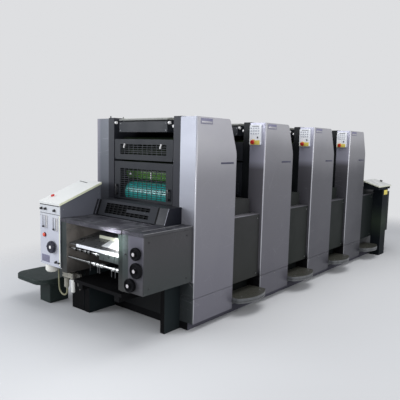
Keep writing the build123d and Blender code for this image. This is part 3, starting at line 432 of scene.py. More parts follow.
head_lid_paint = painted(
    "feeder_console_lid_paint", (0.42, 0.43, 0.42), (0.60, 0.61, 0.58), 0.42, 14.0, 0.8,
    ((0.68, 0.70, 0.56), 0.9, front), ((0.68, 0.70, 0.56), 0.9, left_side), specular=0.3)

# Plastics, rubber and plates
black_plastic = painted("black_plastic", (0.010, 0.010, 0.012), (0.018, 0.018, 0.021), 0.3, 20.0, 0.5)
wheel_plastic = painted(
    "handwheel_plastic", (0.004, 0.004, 0.005), (0.008, 0.008, 0.010), 0.5, 18.0, 0.5, specular=0.05)
knob_blue = painted("regulator_plastic", (0.008, 0.009, 0.022), (0.014, 0.016, 0.034), 0.3, 20.0, 0.5)
white_plastic = painted("white_plastic", (0.80, 0.79, 0.78), (0.68, 0.67, 0.66), 0.35, 20.0, 0.5)
hub_plastic = painted("handwheel_hub", (0.46, 0.44, 0.45), (0.38, 0.36, 0.37), 0.4, 20.0, 0.5)
red_plastic = painted("red_plastic", (0.52, 0.018, 0.014), (0.36, 0.012, 0.012), 0.3, 30.0, 0.5)
lamp_red = painted("lamp_red_plastic", (0.78, 0.11, 0.06), (0.6, 0.06, 0.04), 0.25, 40.0, 0.5, coat=0.3)
control_white = painted(
    "control_panel_white", (0.93, 0.95, 0.97), (0.86, 0.88, 0.90), 0.4, 8.0, 0.4, specular=0.3)
key_grey = painted("key_grey", (0.50, 0.51, 0.56), (0.60, 0.61, 0.66), 0.45, 60.0, 0.5)
meter_grey = painted("meter_grey", (0.33, 0.335, 0.37), (0.42, 0.42, 0.46), 0.4, 60.0, 0.5)
yellow_label = painted("yellow_plate", (0.75, 0.62, 0.12), (0.62, 0.5, 0.1), 0.5, 30.0, 0.5)
plate_grey = painted("bare_plate_grey", (0.15, 0.145, 0.23), (0.2, 0.195, 0.28), 0.4, 60.0, 0.5)
strip_dark = painted("dark_strip_enamel", (0.026, 0.026, 0.06), (0.045, 0.045, 0.08), 0.35, 60.0, 0.5)
line_and_highlight_grey = painted("engraved_line_and_edge_highlight_grey", (0.18, 0.18, 0.22), (0.26, 0.26, 0.3), 0.5, 60.0, 0.5)
hose_plastic = painted("hose_plastic", (0.24, 0.235, 0.14), (0.17, 0.165, 0.10), 0.42, 40.0, 0.5)
bowl_plastic = painted(
    "filter_bowl_plastic", (0.30, 0.29, 0.24), (0.20, 0.19, 0.16), 0.3, 30.0, 0.6,
    ((0.80, 0.80, 0.76), 1.0, along(-Y, -0.425, -0.422), along(Y, 0.385, 0.388), along(Z, 0.282, 0.279)),
    ((0.07, 0.066, 0.06), 0.9, along(Y, 0.384, 0.378)))
cup_plastic = painted("cup_plastic", (0.80, 0.79, 0.74), (0.64, 0.63, 0.56), 0.3, 14.0, 0.5)
rubber = painted("black_rubber", (0.010, 0.010, 0.011), (0.02, 0.02, 0.02), 0.7, 30.0, 0.5, specular=0.3)
blanket_rubber = painted(
    "blanket_rubber", (0.012, 0.34, 0.31), (0.02, 0.44, 0.42), 0.22, 12.0, 0.6,
    ((0.003, 0.010, 0.010), 1.0, along(Y, 0.231, 0.238)), coat=0.6, coat_roughness=0.32)
plate_green = painted(
    "plate_green", (0.105, 0.29, 0.035), (0.05, 0.18, 0.02), 0.3, 14.0, 0.8,
    # Painted shade: nearly black above 1.15 m and below 1.076 m, leaving a lit green band
    ((0.004, 0.010, 0.003), 0.95, along(Z, 1.136, 1.150)),
    ((0.003, 0.008, 0.004), 0.95, along(-Z, -1.082, -1.076)), coat=0.2)
roller_rubber = painted(
    "ink_roller_rubber", (0.008, 0.012, 0.007), (0.018, 0.03, 0.008), 0.5, 14.0, 0.7, specular=0.12)
light_wedge_white = painted("painted_light_wedge", (0.95, 0.97, 0.98), (0.80, 0.85, 0.88), 0.3, 16.0, 0.6)
strip_cream = painted("cream_strip", (0.86, 0.88, 0.70), (0.74, 0.76, 0.58), 0.35, 24.0, 0.5)
belt_cloth = painted("feed_belt_cloth", (0.42, 0.40, 0.34), (0.30, 0.29, 0.25), 0.7, 40.0, 0.6)

# Foot steps with grit on top, and bare metals
grit = (facing(Z), patches(260.0, 0.56, 0.64))
step_paint = painted(
    "foot_step_paint", (0.115, 0.12, 0.125), (0.055, 0.06, 0.06), 0.42, 14.0, 0.8,
    ((0.036, 0.036, 0.028), 1.0, facing(Z)), ((0.075, 0.077, 0.066), 0.8, *grit))
step_paint.bump(0.6, 0.002, *grit)
steel = brushed(
    "bright_steel", (0.62, 0.63, 0.62), 0.22, 0.15, 0.38, 40.0, ((0.42, 0.43, 0.44), 0.6, lines(40.0)))
dull_steel = brushed(
    "dull_steel", (0.32, 0.32, 0.33), 0.4, 0.3, 0.55, 30.0, ((0.2, 0.2, 0.21), 0.6, lines(30.0)))
stop_steel = brushed(
    # Painted shade: the rings are dark beyond y 0.03 and below 0.48 m
    "stop_ring_steel", (0.60, 0.61, 0.60), 0.2, 0.12, 0.4, 40.0, ((0.05, 0.05, 0.05), 0.85, along(Y, 0.01, 0.03)),
    ((0.03, 0.03, 0.032), 0.9, along(-Z, -0.484, -0.480)))


# CAD nodes: their finishes, and the width of their rounded edges

def soften(node, width):
    """Rounds the sharp edges of a CAD node for the light to catch."""
    weld = node.modifiers.new("weld", "WELD")
    weld.merge_threshold = 0.00002
    round_off = node.modifiers.new("round_off", "BEVEL")
    round_off.width = width
    round_off.segments = 2
    round_off.limit_method = "ANGLE"
    round_off.angle_limit = math.radians(50)
    round_off.harden_normals = True
    round_off.use_clamp_overlap = True


for finish, names in (
        (silver, "operator_panels drive_panels"), (frame_paint, "unit_frames"), (wall_paint, "unit_walls"),
        (plinth_paint, "base_frame"), (guard_paint, "rear_unit_guards upper_guard lower_guard"),
        (duct_paint, "ink_ducts"), (cover_paint, "lower_covers transfer_housings"), (step_paint, "foot_steps"),
        (blanket_rubber, "blanket_cylinder"), (plate_green, "plate_cylinder rear_unit_cylinders"),
        (roller_rubber, "ink_rollers"), (control_white, "unit_control_panels"), (red_plastic, "stop_buttons"),
        (housing_paint, "delivery_housing"), (inside_paint, "delivery_frames"), (leg_paint, "delivery_legs"),
        (deep_paint, "delivery_pile_board feeder_pile_board"), (step_board, "side_step"),
        (table_paint, "delivery_table delivery_cover feeder_board"), (hood_paint, "delivery_hood"),
        (end_paint, "hood_end_covers"), (guide_steel, "sheet_guide"), (stop_steel, "sheet_stops"),
        (console_dark, "console_body"), (face_paint, "console_face"), (lid_paint, "console_lid"),
        (cup_plastic, "powder_cup"), (white_plastic, "duct_end_knobs flow_meters"),
        (bowl_plastic, "air_filters"), (feeder_paint, "feeder_frames"), (dull_steel, "suction_head"),
        (pedestal_paint, "feeder_console"), (head_lid_paint, "feeder_console_lid"),
        (black_plastic, "console_knobs hose_gland regulator_knob handwheel_1 handwheel_2 handwheel_3")):
    for name in names.split():
        nodes[name].data.materials.clear()
        nodes[name].data.materials.append(finish.material)

for width, names in (
        (0.004, "unit_frames lower_covers"), (0.006, "operator_panels drive_panels"),
        (0.003, "delivery_housing delivery_frames delivery_table delivery_cover hood_end_covers"),
        (0.002, "console_face console_lid console_body ink_ducts feeder_console feeder_console_lid"),
        (0.002, "unit_control_panels feeder_frames foot_steps delivery_legs sheet_guide"),
        (0.0015, "suction_head feeder_board unit_walls")):
    for name in names.split():
        soften(nodes[name], width)


# Shapes

def new_verts(shape, before):
    return [vertex for vertex in shape.verts if vertex not in before]


def faces_of(verts):
    """The faces at some vertices, each once and always in the same order."""
    return list(dict.fromkeys(face for vertex in verts for face in vertex.link_faces))


def brick(shape, low, high, edge=0.0, material=0, segments=2):
    """A block between two corners, with rounded edges."""
    low, high = Vector(low), Vector(high)
    place = Matrix.Translation((low + high) / 2) @ Matrix.Diagonal((*(high - low), 1.0))
    made = bmesh.ops.create_cube(shape, size=1.0, matrix=place)["verts"]
    for face in faces_of(made):
        face.material_index = material
    if edge:
        edges = dict.fromkeys(side for vertex in made for side in vertex.link_edges)
        bmesh.ops.bevel(shape, geom=list(edges), offset=edge, offset_type="OFFSET", affect="EDGES",
                        segments=segments, profile=0.5, material=-1, clamp_overlap=True)


def turned(shape, base, axis, profile, segments=32, material=0):
    """A turned form: profile is a list of (radius, distance along the axis) from the base."""
    before = set(shape.verts)
    start = [shape.verts.new((radius, 0, height)) for radius, height in profile]
    edges = [shape.edges.new(pair) for pair in zip(start, start[1:])]
    bmesh.ops.spin(shape, geom=start + edges, cent=(0, 0, 0), axis=(0, 0, 1), dvec=(0, 0, 0),
                   angle=math.tau, steps=segments, use_merge=True)
    bmesh.ops.remove_doubles(shape, verts=new_verts(shape, before), dist=0.00001)
    body = new_verts(shape, before)
    turn = Z.rotation_difference(axis).to_matrix().to_4x4()
    bmesh.ops.transform(shape, matrix=Matrix.Translation(base) @ turn, verts=body)
    faces = faces_of(body)
    for face in faces:
        face.material_index = material
    bmesh.ops.recalc_face_normals(shape, faces=faces)


def disc(shape, base, axis, radius, length, edge, segments=28, material=0):
    """A round bar from its base along an axis, with rounded ends."""
    edge = min(edge, radius * 0.9, length * 0.45)
    step = edge * 0.3
    profile = [(0, 0), (radius - edge, 0), (radius - step, step), (radius, edge), (radius, length - edge),
               (radius - step, length - step), (radius - edge, length), (0, length)]
    turned(shape, base, axis, profile, segments, material)


def screw(shape, place, axis, radius, material=0):
    """A low socket-head screw, seen from outside."""
    depth = radius * 0.55
    profile = [(radius, -0.0006), (radius, depth * 0.7), (radius * 0.86, depth), (radius * 0.5, depth),
               (radius * 0.46, depth * 0.35), (0, depth * 0.3)]
    turned(shape, place, axis, profile, 10, material)


def laid(shape, lay, make, *form):
    """Makes a form at the origin and lays it in its place."""
    before = set(shape.verts)
    make(shape, *form)
    bmesh.ops.transform(shape, matrix=lay, verts=new_verts(shape, before))


def thicken(shape, faces, way):
    """Draws faces out into a sheet with thickness."""
    drawn = bmesh.ops.extrude_face_region(shape, geom=faces)["geom"]
    bmesh.ops.translate(shape, verts=[item for item in drawn if isinstance(item, bmesh.types.BMVert)], vec=way)


def ribs(shape, middle, count, radius, half):
    """Small blocks all round a rim that looks along -X."""
    for step in range(count):
        angle = math.tau * step / count
        place = middle + Vector((0, math.cos(angle) * radius, math.sin(angle) * radius))
        brick(shape, place - half, place + half)


def piece(name, shape, slot, *finishes, body="machine", instead_of=None):
    """Makes an object of a finished shape, riding on a body."""
    mesh = bpy.data.meshes.new(name)
    shape.to_mesh(mesh)
    shape.free()
    made = bpy.data.objects.new(name, mesh)
    scene.collection.objects.link(made)
    for finish in finishes:
        mesh.materials.append(finish.material)
    mesh.shade_smooth()
    mesh.set_sharp_from_angle(angle=math.radians(35.0))
    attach(made, body)
    if instead_of:
        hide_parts(instead_of)


def screws(name, slot, radius, spots, finish=dull_steel):
    """A piece that is a set of like screws, each with its place and axis."""
    shape = bmesh.new()
    for place, axis in spots:
        screw(shape, place, axis, radius)
    piece(name, shape, slot, finish)


def air_hose():
    """The hose from the gland to the barb under the first filter bowl, as one smooth line."""
    route = [(0.600, 0.3835), (0.603, 0.318), (0.602, 0.250), (0.600, 0.158), (0.556, 0.125), (0.512, 0.127),
             (0.486, 0.156), (0.486, 0.1915)]
    curve = bpy.data.curves.new("air_hose_line", "CURVE")
    curve.dimensions = "3D"
    line = curve.splines.new("NURBS")
    line.points.add(len(route) - 1)
    for point, (y, z) in zip(line.points, route):
        point.co = (filter_x, y, z, 1.0)
    line.order_u = 3
    line.use_endpoint_u = True
    line.resolution_u = 16
    curve.bevel_depth = 0.0065
    curve.bevel_resolution = 6
    curve.use_fill_caps = True
    hose = bpy.data.objects.new("air_hose_line", curve)
    scene.collection.objects.link(hose)
    curve.materials.append(hose_plastic.material)
    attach(hose, "machine")
    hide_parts("air_hose")


air_hose()


# Units

def panel_plates():
    """The bare plate and the bare dark strip on each operator panel."""
    shape = bmesh.new()
    y = -panel_face
    for start in unit_fronts:
        brick(shape, (start + 0.038, y - 0.0015, 1.516), (start + 0.172, y + 0.002, 1.556), 0.0008)
        brick(shape, (start + 0.044, y - 0.0022, 1.521), (start + 0.166, y, 1.536), 0.0003, 1)
        brick(shape, (start + 0.285, y - 0.0015, 1.228), (start + 0.445, y + 0.002, 1.241), 0.0006, 2)
    piece("panel_plates", shape, "panel_silver", plate_grey, silver, strip_dark)


def control_keys():
    """Yellow foot, keys, line and button of the control panels of units 2 to 4."""
    shape = bmesh.new()
    for start in unit_fronts[1:]:
        face = start - 0.014
        brick(shape, (face - 0.0012, -0.5085, 1.3805), (face + 0.001, -0.4115, 1.418), 0.0004, 1)
        for height in (1.515, 1.492, 1.469):
            for column in range(4):
                y = -0.500 + column * 0.024
                brick(shape, (face - 0.003, y, height), (face + 0.001, y + 0.014, height + 0.011), 0.0008, 2)
        brick(shape, (face - 0.0012, -0.500, 1.534), (face + 0.001, -0.43, 1.539), 0.0003, 3)
        disc(shape, (face + 0.001, -0.487, 1.442), -X, 0.007, 0.006, 0.0012, 20, 3)
        turned(shape, (face + 0.0005, -0.443, 1.402), -X,
               [(0.012, 0), (0.024, 0), (0.024, 0.002), (0.022, 0.003), (0.012, 0.003)], 28, 1)
    piece("control_keys", shape, "console_white", control_white, yellow_label, key_grey, black_plastic)


def cover_ledges():
    """The bright lips on top of the low covers between the units and beside the feeder."""
    shape = bmesh.new()
    spans = [(start + 0.483, start + 0.888) for start in unit_fronts[:3]] + [(1.818, 2.205), (2.212, 2.878)]
    for start, end in spans:
        for side in sides:
            low, high = sorted((side * 0.4505, side * 0.529))
            brick(shape, (start, low, 0.7895), (end, high, 0.7945), 0.0012)
    piece("cover_ledges", shape, "panel_silver", silver)


def rear_guard_webs():
    """The upright web in the middle of each slot of the guards of units 2 to 4."""
    shape = bmesh.new()
    for start in unit_fronts[1:]:
        for column in range(5):
            y = (column - 2) * 0.104
            for low, high in ((0.931, 1.169), (1.279, 1.361)):
                brick(shape, (start + 0.0036, y - 0.0035, low), (start + 0.0144, y + 0.0035, high))
    piece("rear_guard_webs", shape, "guard_paint", guard_paint)


def upper_guard_fittings():
    """The two bright hooks and the hinge ears of the first unit's upper guard."""
    shape = bmesh.new()
    face = first_front + 0.003
    for y in (0.210, -0.199):
        for rise, reach in ((0.0, 0.0), (0.011, 0.004), (0.022, 0.008)):
            brick(shape, (face - 0.010, y - reach - 0.0045, 1.330 + rise),
                  (face + 0.002, y - reach + 0.0035, 1.3425 + rise), 0.002)
    for y in (-0.3195, 0.3195):
        disc(shape, (face + 0.004, y - 0.006, 1.244), Y, 0.0055, 0.012, 0.001, 20, 1)
        brick(shape, (face - 0.002, y - 0.005, 1.241), (face + 0.008, y + 0.005, 1.262), 0.0015, 1)
    piece("upper_guard_fittings", shape, "guard_paint", white_plastic, guard_paint, body="upper_guard_body")


def lower_guard_fittings():
    """The two pale clips behind the slots of the first unit's lower guard, and its handles' screws."""
    shape = bmesh.new()
    for y, low, high in ((-0.085, 1.095, 1.145), (0.150, 1.118, 1.140)):
        brick(shape, (first_front + 0.0152, y - 0.004, low), (first_front + 0.0215, y + 0.004, high), 0.0015)
        disc(shape, (first_front + 0.0150, y, low + 0.006), X, 0.007, 0.009, 0.001, 16)
    for y in (-0.294, 0.294):
        for z in (0.947, 1.033):
            screw(shape, (first_front - 0.019, y, z), -X, 0.003, 1)
    piece("lower_guard_fittings", shape, "guard_paint", white_plastic, black_plastic, body="lower_guard_body")


def drip_guard():
    """The dark strip below the first unit's lower guard, in front of the cylinder's foot."""
    shape = bmesh.new()
    brick(shape, (first_front + 0.0215, -0.318, 0.868), (first_front + 0.0240, 0.318, 0.934), 0.0008)
    brick(shape, (first_front + 0.0240, -0.318, 0.868), (first_front + 0.0300, 0.318, 0.8705), 0.0008)
    piece("drip_guard", shape, "guard_paint", guard_paint)


def thin_guard(node, z, cells, rows, handle_z=None):
    """A guard of thin sheet: a folded frame round a lattice of slots, with its handles and pin."""
    face = first_front + 0.003
    shape = bmesh.new()
    frame_y, frame_z = (-0.327, -0.26, 0.26, 0.327), (z[0], *cells, z[1])
    for vertex in bmesh.ops.create_grid(shape, x_segments=3, y_segments=3, size=1.0)["verts"]:
        column, row = round((vertex.co.x + 1) * 1.5), round((vertex.co.y + 1) * 1.5)
        vertex.co = (face, frame_y[column], frame_z[row])
    opening = [flat for flat in shape.faces if abs(flat.calc_center_median().y) < 0.2
               and cells[0] < flat.calc_center_median().z < cells[1]]
    bmesh.ops.delete(shape, geom=opening, context="FACES_ONLY")
    corners = [vertex for vertex in shape.verts if len(vertex.link_edges) == 2]
    bmesh.ops.bevel(shape, geom=corners, offset=0.012, offset_type="OFFSET", affect="VERTICES", segments=4,
                    profile=0.5, material=-1)
    thicken(shape, list(shape.faces), (0.011, 0, 0))
    bmesh.ops.recalc_face_normals(shape, faces=list(shape.faces))
    before = set(shape.verts)
    middle = Vector((face + 0.003, 0, (cells[0] + cells[1]) / 2))
    lay = Matrix.Translation(middle) @ Matrix(((0, 0, -1, 0), (1, 0, 0, 0), (0, -1, 0, 0), (0, 0, 0, 1)))
    size = Matrix.Diagonal((0.26, (cells[1] - cells[0]) / 2, 1, 1))
    sheet = bmesh.ops.create_grid(shape, x_segments=10, y_segments=rows, size=1.0, matrix=lay @ size)["verts"]
    slots = faces_of(sheet)
    bmesh.ops.inset_individual(shape, faces=slots, thickness=0.0025, use_even_offset=True)
    bmesh.ops.delete(shape, geom=slots, context="FACES_ONLY")
    thicken(shape, faces_of(new_verts(shape, before)), (-0.0025, 0, 0))
    bmesh.ops.recalc_face_normals(shape, faces=faces_of(new_verts(shape, before)))
    pin_z = z[1] - 0.006 if handle_z else z[0] + 0.006
    disc(shape, (face + 0.006, -0.331, pin_z), Y, 0.004, 0.662, 0.0006, 20, 2)
    for y in (-0.294, 0.294) if handle_z else ():
        brick(shape, (face - 0.022, y - 0.0085, handle_z - 0.047), (face - 0.013, y + 0.0085, handle_z + 0.047),
              0.004, 1, 3)
        for end in (handle_z - 0.034, handle_z + 0.034):
            brick(shape, (face - 0.015, y - 0.006, end - 0.008), (face + 0.001, y + 0.006, end + 0.008), 0.002, 1)
    piece(node + "_sheet", shape, "guard_paint", guard_paint, black_plastic, dull_steel, body=node + "_body",
          instead_of=node)


panel_plates()
screws("panel_screws", "panel_silver", 0.0045, [
    spot for start in unit_fronts for side in sides for spot in
    [((x, side * panel_face, 0.232), side * Y) for x in (start + 0.03, start + 0.24, start + 0.45)] +
    [((start + panel_length, side * 0.530, z), X) for z in (0.42, 0.80, 1.18)]])
control_keys()
cover_ledges()
screws("cover_screws", "frame_paint", 0.005, [
    ((x, side * cover_face, z), side * Y) for start in unit_fronts
    for x in (start + panel_length + 0.03, start + unit_pitch - 0.03) for z in (0.275, 0.755) for side in sides])
screws("duct_screws", "guard_paint", 0.0035, [
    ((start, side * 0.255, z), -X) for start in unit_fronts for side in sides for z in (1.470, 1.522)])
drip_guard()
thin_guard("upper_guard", (1.238, 1.400), (1.2785, 1.3615), 5)
thin_guard("lower_guard", (0.921, 1.223), (0.931, 1.169), 14, 0.990)
rear_guard_webs()
upper_guard_fittings()
lower_guard_fittings()
screws("step_screws", "step_grit", 0.006, [
    ((x, side * 0.60, 0.150), Z) for start in unit_fronts for side in sides
    for x in (start + panel_length + 0.07, start + unit_pitch - 0.07)])


# Delivery

def wheel(number, y, z, rim):
    """A turned handwheel with a ribbed rim and a pale hub cap."""
    back = Vector((-1.8263, y, z))
    shape = bmesh.new()
    turned(shape, back, -X, [
        (0.0, 0.0), (rim - 0.005, 0.0), (rim - 0.0015, 0.0015), (rim, 0.005), (rim, 0.018), (rim - 0.0025, 0.0225),
        (rim - 0.008, 0.024), (rim - 0.0115, 0.0215), (rim - 0.013, 0.017), (0.021, 0.016), (0.017, 0.0185),
        (0.0155, 0.023), (0.0150, 0.031), (0.0138, 0.0326), (0.0, 0.0328)], 48)
    turned(shape, back + Vector((-0.0322, 0, 0)), -X,
           [(0.0, 0.0), (0.0122, 0.0), (0.0122, 0.0004), (0.0115, 0.0008), (0.0, 0.0008)], 28, 1)
    ribs(shape, back + Vector((-0.0115, 0, 0)), 20, rim - 0.0008, Vector((0.0065, 0.0008, 0.0008)))
    node = "handwheel_%d" % number
    piece(node + "_turned", shape, "black_plastic", wheel_plastic, hub_plastic, body=node + "_body",
          instead_of=node)


def opening_pieces():
    """The pale sheet and the cream strip on the guide plate, and the latch on the side frame. The pale sheet is
    painted light: it stands for a bright wedge of light on the plate.
    """
    shape = bmesh.new()
    rise = 0.086 / 0.443
    centre = Vector((-1.640, -0.165, 0.604 + 0.150 * rise + 0.0009))
    lay = Matrix.Translation(centre) @ Matrix.Rotation(-math.atan(rise), 4, "Y")
    sheet = bmesh.ops.create_grid(shape, x_segments=3, y_segments=4, size=1.0,
                                  matrix=lay @ Matrix.Diagonal((0.088, 0.118, 1.0, 1.0)))["verts"]
    far = max(vertex.co.x for vertex in sheet)
    near = min(vertex.co.x for vertex in sheet)
    for vertex in sheet:
        if vertex.co.y > -0.1:
            vertex.co.y += 0.05 + 0.05 * (vertex.co.x - near) / (far - near)
    thicken(shape, faces_of(sheet), (0, 0, 0.0012))
    bmesh.ops.recalc_face_normals(shape, faces=list(shape.faces))
    brick(shape, (-1.6165, -0.286, 0.6395), (-1.6115, 0.165, 0.664), 0.001, 1)
    disc(shape, (-1.8115, -0.360, 0.630), -X, 0.008, 0.004, 0.0012, 20, 2)
    piece("opening_pieces", shape, "guide_steel", light_wedge_white, strip_cream, black_plastic)


def hood_trims():
    """Thin grey strips painted as the highlights on the edges of the hood's ends, and the dark seams beside its
    middle part.
    """
    lean = Matrix.Rotation(math.atan2(0.044, 0.115), 4, "Y")
    shape = bmesh.new()
    for y, width, material in ((-0.4247, 0.0030, 0), (-0.3300, 0.0150, 1), (0.3300, 0.0130, 1),
                               (0.352, 0.0030, 0)):
        laid(shape, Matrix.Translation((-1.490, y, 0.8555)) @ lean, brick, (-0.0006, -width / 2, -0.061),
             (0.0012, width / 2, 0.061), 0.0, material)
    piece("hood_trims", shape, "table_paint", line_and_highlight_grey, deep_paint)


def console_details():
    """Lines, meters, bezels and the bare plate of the console's face."""
    shape = bmesh.new()
    face = console_front
    for z, height in ((0.8725, 0.0075), (0.807, 0.0035)):
        brick(shape, (face - 0.0008, 0.381, z), (face + 0.002, 0.649, z + height), 0.0, 1)
    brick(shape, (face - 0.0015, 0.523, 0.419), (face + 0.001, 0.630, 0.475), 0.0006, 2)
    brick(shape, (face - 0.0006, 0.3805, 0.412), (face + 0.001, 0.3895, 0.806), 0.0, 8)
    for row in range(4):
        z = 0.428 + row * 0.011
        brick(shape, (face - 0.0019, 0.530, z), (face - 0.0013, 0.622, z + 0.0035), 0.0, 3)
    for y, z in ((0.576, 0.745), (0.434, 0.737)):
        glass = face - 0.012
        brick(shape, (glass - 0.002, y - 0.0235, z - 0.0505), (glass + 0.0002, y + 0.0235, z + 0.0505), 0.001, 7)
        brick(shape, (glass - 0.0023, y - 0.0145, z - 0.040), (glass - 0.0015, y + 0.0045, z + 0.044), 0.0003, 6)
        for low, high in ((-0.0175, -0.0145), (0.0045, 0.0075)):
            brick(shape, (glass - 0.0026, y + low, z - 0.042), (glass - 0.0018, y + high, z + 0.046), 0.0, 1)
        for tick in range(9):
            low = z - 0.036 + tick * 0.0095
            brick(shape, (glass - 0.0026, y + 0.010, low), (glass - 0.0018, y + 0.017, low + 0.0012), 0.0, 1)
        disc(shape, (glass, y + 0.004, z - 0.04), -X, 0.008, 0.012, 0.0015, 20, 1)
        brick(shape, (glass - 0.006, y + 0.004, z - 0.044), (glass - 0.002, y + 0.020, z - 0.036), 0.001, 1)
    turned(shape, (face + 0.0005, 0.584, 0.636), -X,
           [(0.015, 0), (0.0185, 0), (0.0185, 0.003), (0.0165, 0.0045), (0.015, 0.0045)], 28, 1)
    for y in (0.392, 0.638):
        for z in (0.410, 0.79):
            disc(shape, (face + 0.0005, y, z), -X, 0.004, 0.002, 0.0008, 14, 5)
    piece("console_details", shape, "console_white", white_paint, black_plastic, plate_grey, line_and_highlight_grey,
          white_plastic, dull_steel, face_paint, meter_grey, strip_cream)


def console_lamp_cap():
    """The glowing cap on the console's face."""
    shape = bmesh.new()
    turned(shape, (console_front - 0.0118, 0.584, 0.636), -X,
           [(0.0, -0.001), (0.0149, -0.001), (0.0149, 0.001), (0.0125, 0.0025), (0.0, 0.003)], 28)
    piece("console_lamp_cap", shape, "button_red", lamp_red)


def small_knobs():
    """The small knobs of the console's face, with a pointer line, and the stub on the lowest one."""
    shape = bmesh.new()
    face = console_front
    for y, z in ((0.623, 0.843), (0.567, 0.844), (0.445, 0.840), (0.428, 0.438)):
        turned(shape, (face, y, z), -X, [(0.0, 0.0), (0.0112, 0.0), (0.0112, 0.004), (0.0102, 0.0055),
                                         (0.0098, 0.014), (0.0082, 0.0175), (0, 0.018)], 24)
        brick(shape, (face - 0.0184, y - 0.0007, z), (face - 0.0176, y + 0.0007, z + 0.0075), 0.0, 1)
    disc(shape, (face - 0.009, 0.428, 0.438), -Y, 0.0035, 0.042, 0.001, 16)
    disc(shape, (face - 0.009, 0.388, 0.438), -Y, 0.0075, 0.006, 0.001, 20)
    piece("console_small_knobs", shape, "black_plastic", black_plastic, white_plastic, instead_of="console_knobs")


def regulator():
    """The large regulator knob with its pale centre."""
    back = Vector((-1.8303, 0.471, 0.554))
    shape = bmesh.new()
    turned(shape, back, -X, [
        (0.0, 0.0), (0.044, 0.0), (0.0475, 0.003), (0.048, 0.009), (0.0465, 0.019), (0.043, 0.0245),
        (0.036, 0.026), (0.028, 0.0245), (0.0245, 0.0205), (0.0, 0.0200)], 48)
    turned(shape, back + Vector((-0.0195, 0, 0)), -X,
           [(0.0, 0.0), (0.0125, 0.0), (0.0125, 0.004), (0.0110, 0.0055), (0.0, 0.0058)], 28, 1)
    disc(shape, back + Vector((-0.001, 0.048, 0.0)), -X, 0.0088, 0.020, 0.003, 20)
    ribs(shape, back + Vector((-0.014, 0, 0)), 24, 0.0468, Vector((0.006, 0.0009, 0.0009)))
    piece("regulator_turned", shape, "black_plastic", knob_blue, white_plastic, body="regulator_body",
          instead_of="regulator_knob")


def on_lid(x, y):
    """A point of the console lid's upper side."""
    rise = (x - delivery_front) * math.tan(console_lid_slope) + 0.018 / math.cos(console_lid_slope)
    return Vector((x, y, 0.884 + rise))


def console_lid_details():
    """The domed red cap on the lid and the slot near its rear edge."""
    normal = Vector((-math.sin(console_lid_slope), 0, math.cos(console_lid_slope)))
    cap = on_lid(-1.742, 0.593)
    shape = bmesh.new()
    turned(shape, cap + normal * 0.0118, normal,
           [(0.0, -0.001), (0.0149, -0.001), (0.0148, 0.0012), (0.0125, 0.0032), (0.0, 0.0045)], 28)
    turned(shape, cap + normal * 0.0002, normal,
           [(0.0150, 0.0), (0.0195, 0.0), (0.0195, 0.0022), (0.0180, 0.0035), (0.0150, 0.0035)], 28, 1)
    lay = Matrix.Rotation(-console_lid_slope, 4, "Y") @ Matrix.Rotation(-0.14, 4, "Z")
    laid(shape, Matrix.Translation(on_lid(-1.4615, 0.575)) @ lay, brick, (-0.0045, -0.062, -0.0006),
         (0.0045, 0.062, 0.0008), 0.0004, 2)
    piece("console_lid_details", shape, "button_red", red_plastic, white_plastic, black_plastic)


def console_side_screws():
    """Screws on the sides and the back of the console and on the filter block."""
    shape = bmesh.new()
    for x, z in ((-1.79, 0.43), (-1.46, 0.43), (-1.79, 0.85), (-1.46, 0.96)):
        for y, side in ((0.380, -1), (0.650, 1)):
            screw(shape, (x, y, z), side * Y, 0.004)
    for y in (0.388, 0.448, 0.508):
        screw(shape, (-1.715, y, 0.311), -X, 0.004)
    for z in (0.50, 0.86):
        for y in (0.42, 0.61):
            screw(shape, (-1.435, y, z), X, 0.005)
    piece("console_side_screws", shape, "console_dark", dull_steel)


def filter_trims():
    """Rings round the collars of the filter bowls and the drain nipple."""
    shape = bmesh.new()
    for y, radius in ((0.492, 0.023), (0.405, 0.018)):
        inner, outer = radius - 0.001, radius + 0.0012
        for z in (0.2785, 0.2845):
            turned(shape, (filter_x, y, z), Z, [(inner, 0), (outer, 0.0006), (outer, 0.0024), (inner, 0.003)], 24)
    turned(shape, (filter_x, 0.405, 0.1625), Z,
           [(0, 0), (0.004, 0), (0.006, 0.004), (0.006, 0.010), (0, 0.010)], 18)
    piece("filter_trims", shape, "black_plastic", console_dark)


for number, (y, z, radius) in enumerate(handwheels, 1):
    wheel(number, y, z, radius)
opening_pieces()
hood_trims()
screws("housing_screws", "frame_paint", 0.005, [
    ((x, -0.538, z), -Y) for x in (-1.77, -1.40) for z in (0.42, 0.73)], black_plastic)
console_details()
console_lamp_cap()
small_knobs()
regulator()
console_lid_details()
console_side_screws()
filter_trims()


# Feeder

def feed_board_details():
    """Feed belts, side guides, the roller bar and its rollers on the feed board."""
    shape = bmesh.new()
    start, end = Vector((1.960, 0, 0.8125)), Vector((2.338, 0, 0.8725))
    slope = math.atan2(end.z - start.z, end.x - start.x)
    lay = Matrix.Translation((start + end) / 2) @ Matrix.Rotation(-slope, 4, "Y")
    belts = (-0.24, -0.08, 0.08, 0.24)
    for y in belts:
        laid(shape, lay, brick, (-0.185, y - 0.0175, 0.0), (0.185, y + 0.0175, 0.0018), 0.0006, 0)
    for y in (-0.345, 0.345):
        laid(shape, lay, brick, (-0.165, y - 0.009, -0.0005), (0.150, y + 0.009, 0.018), 0.003, 1)
    laid(shape, lay, disc, (0.07, -0.330, 0.030), Y, 0.006, 0.660, 0.001, 20, 1)
    for y in belts:
        laid(shape, lay, disc, (0.07, y - 0.014, 0.0165), Y, 0.0135, 0.028, 0.002, 28, 2)
    piece("feed_board_details", shape, "guide_steel", belt_cloth, dull_steel, rubber)


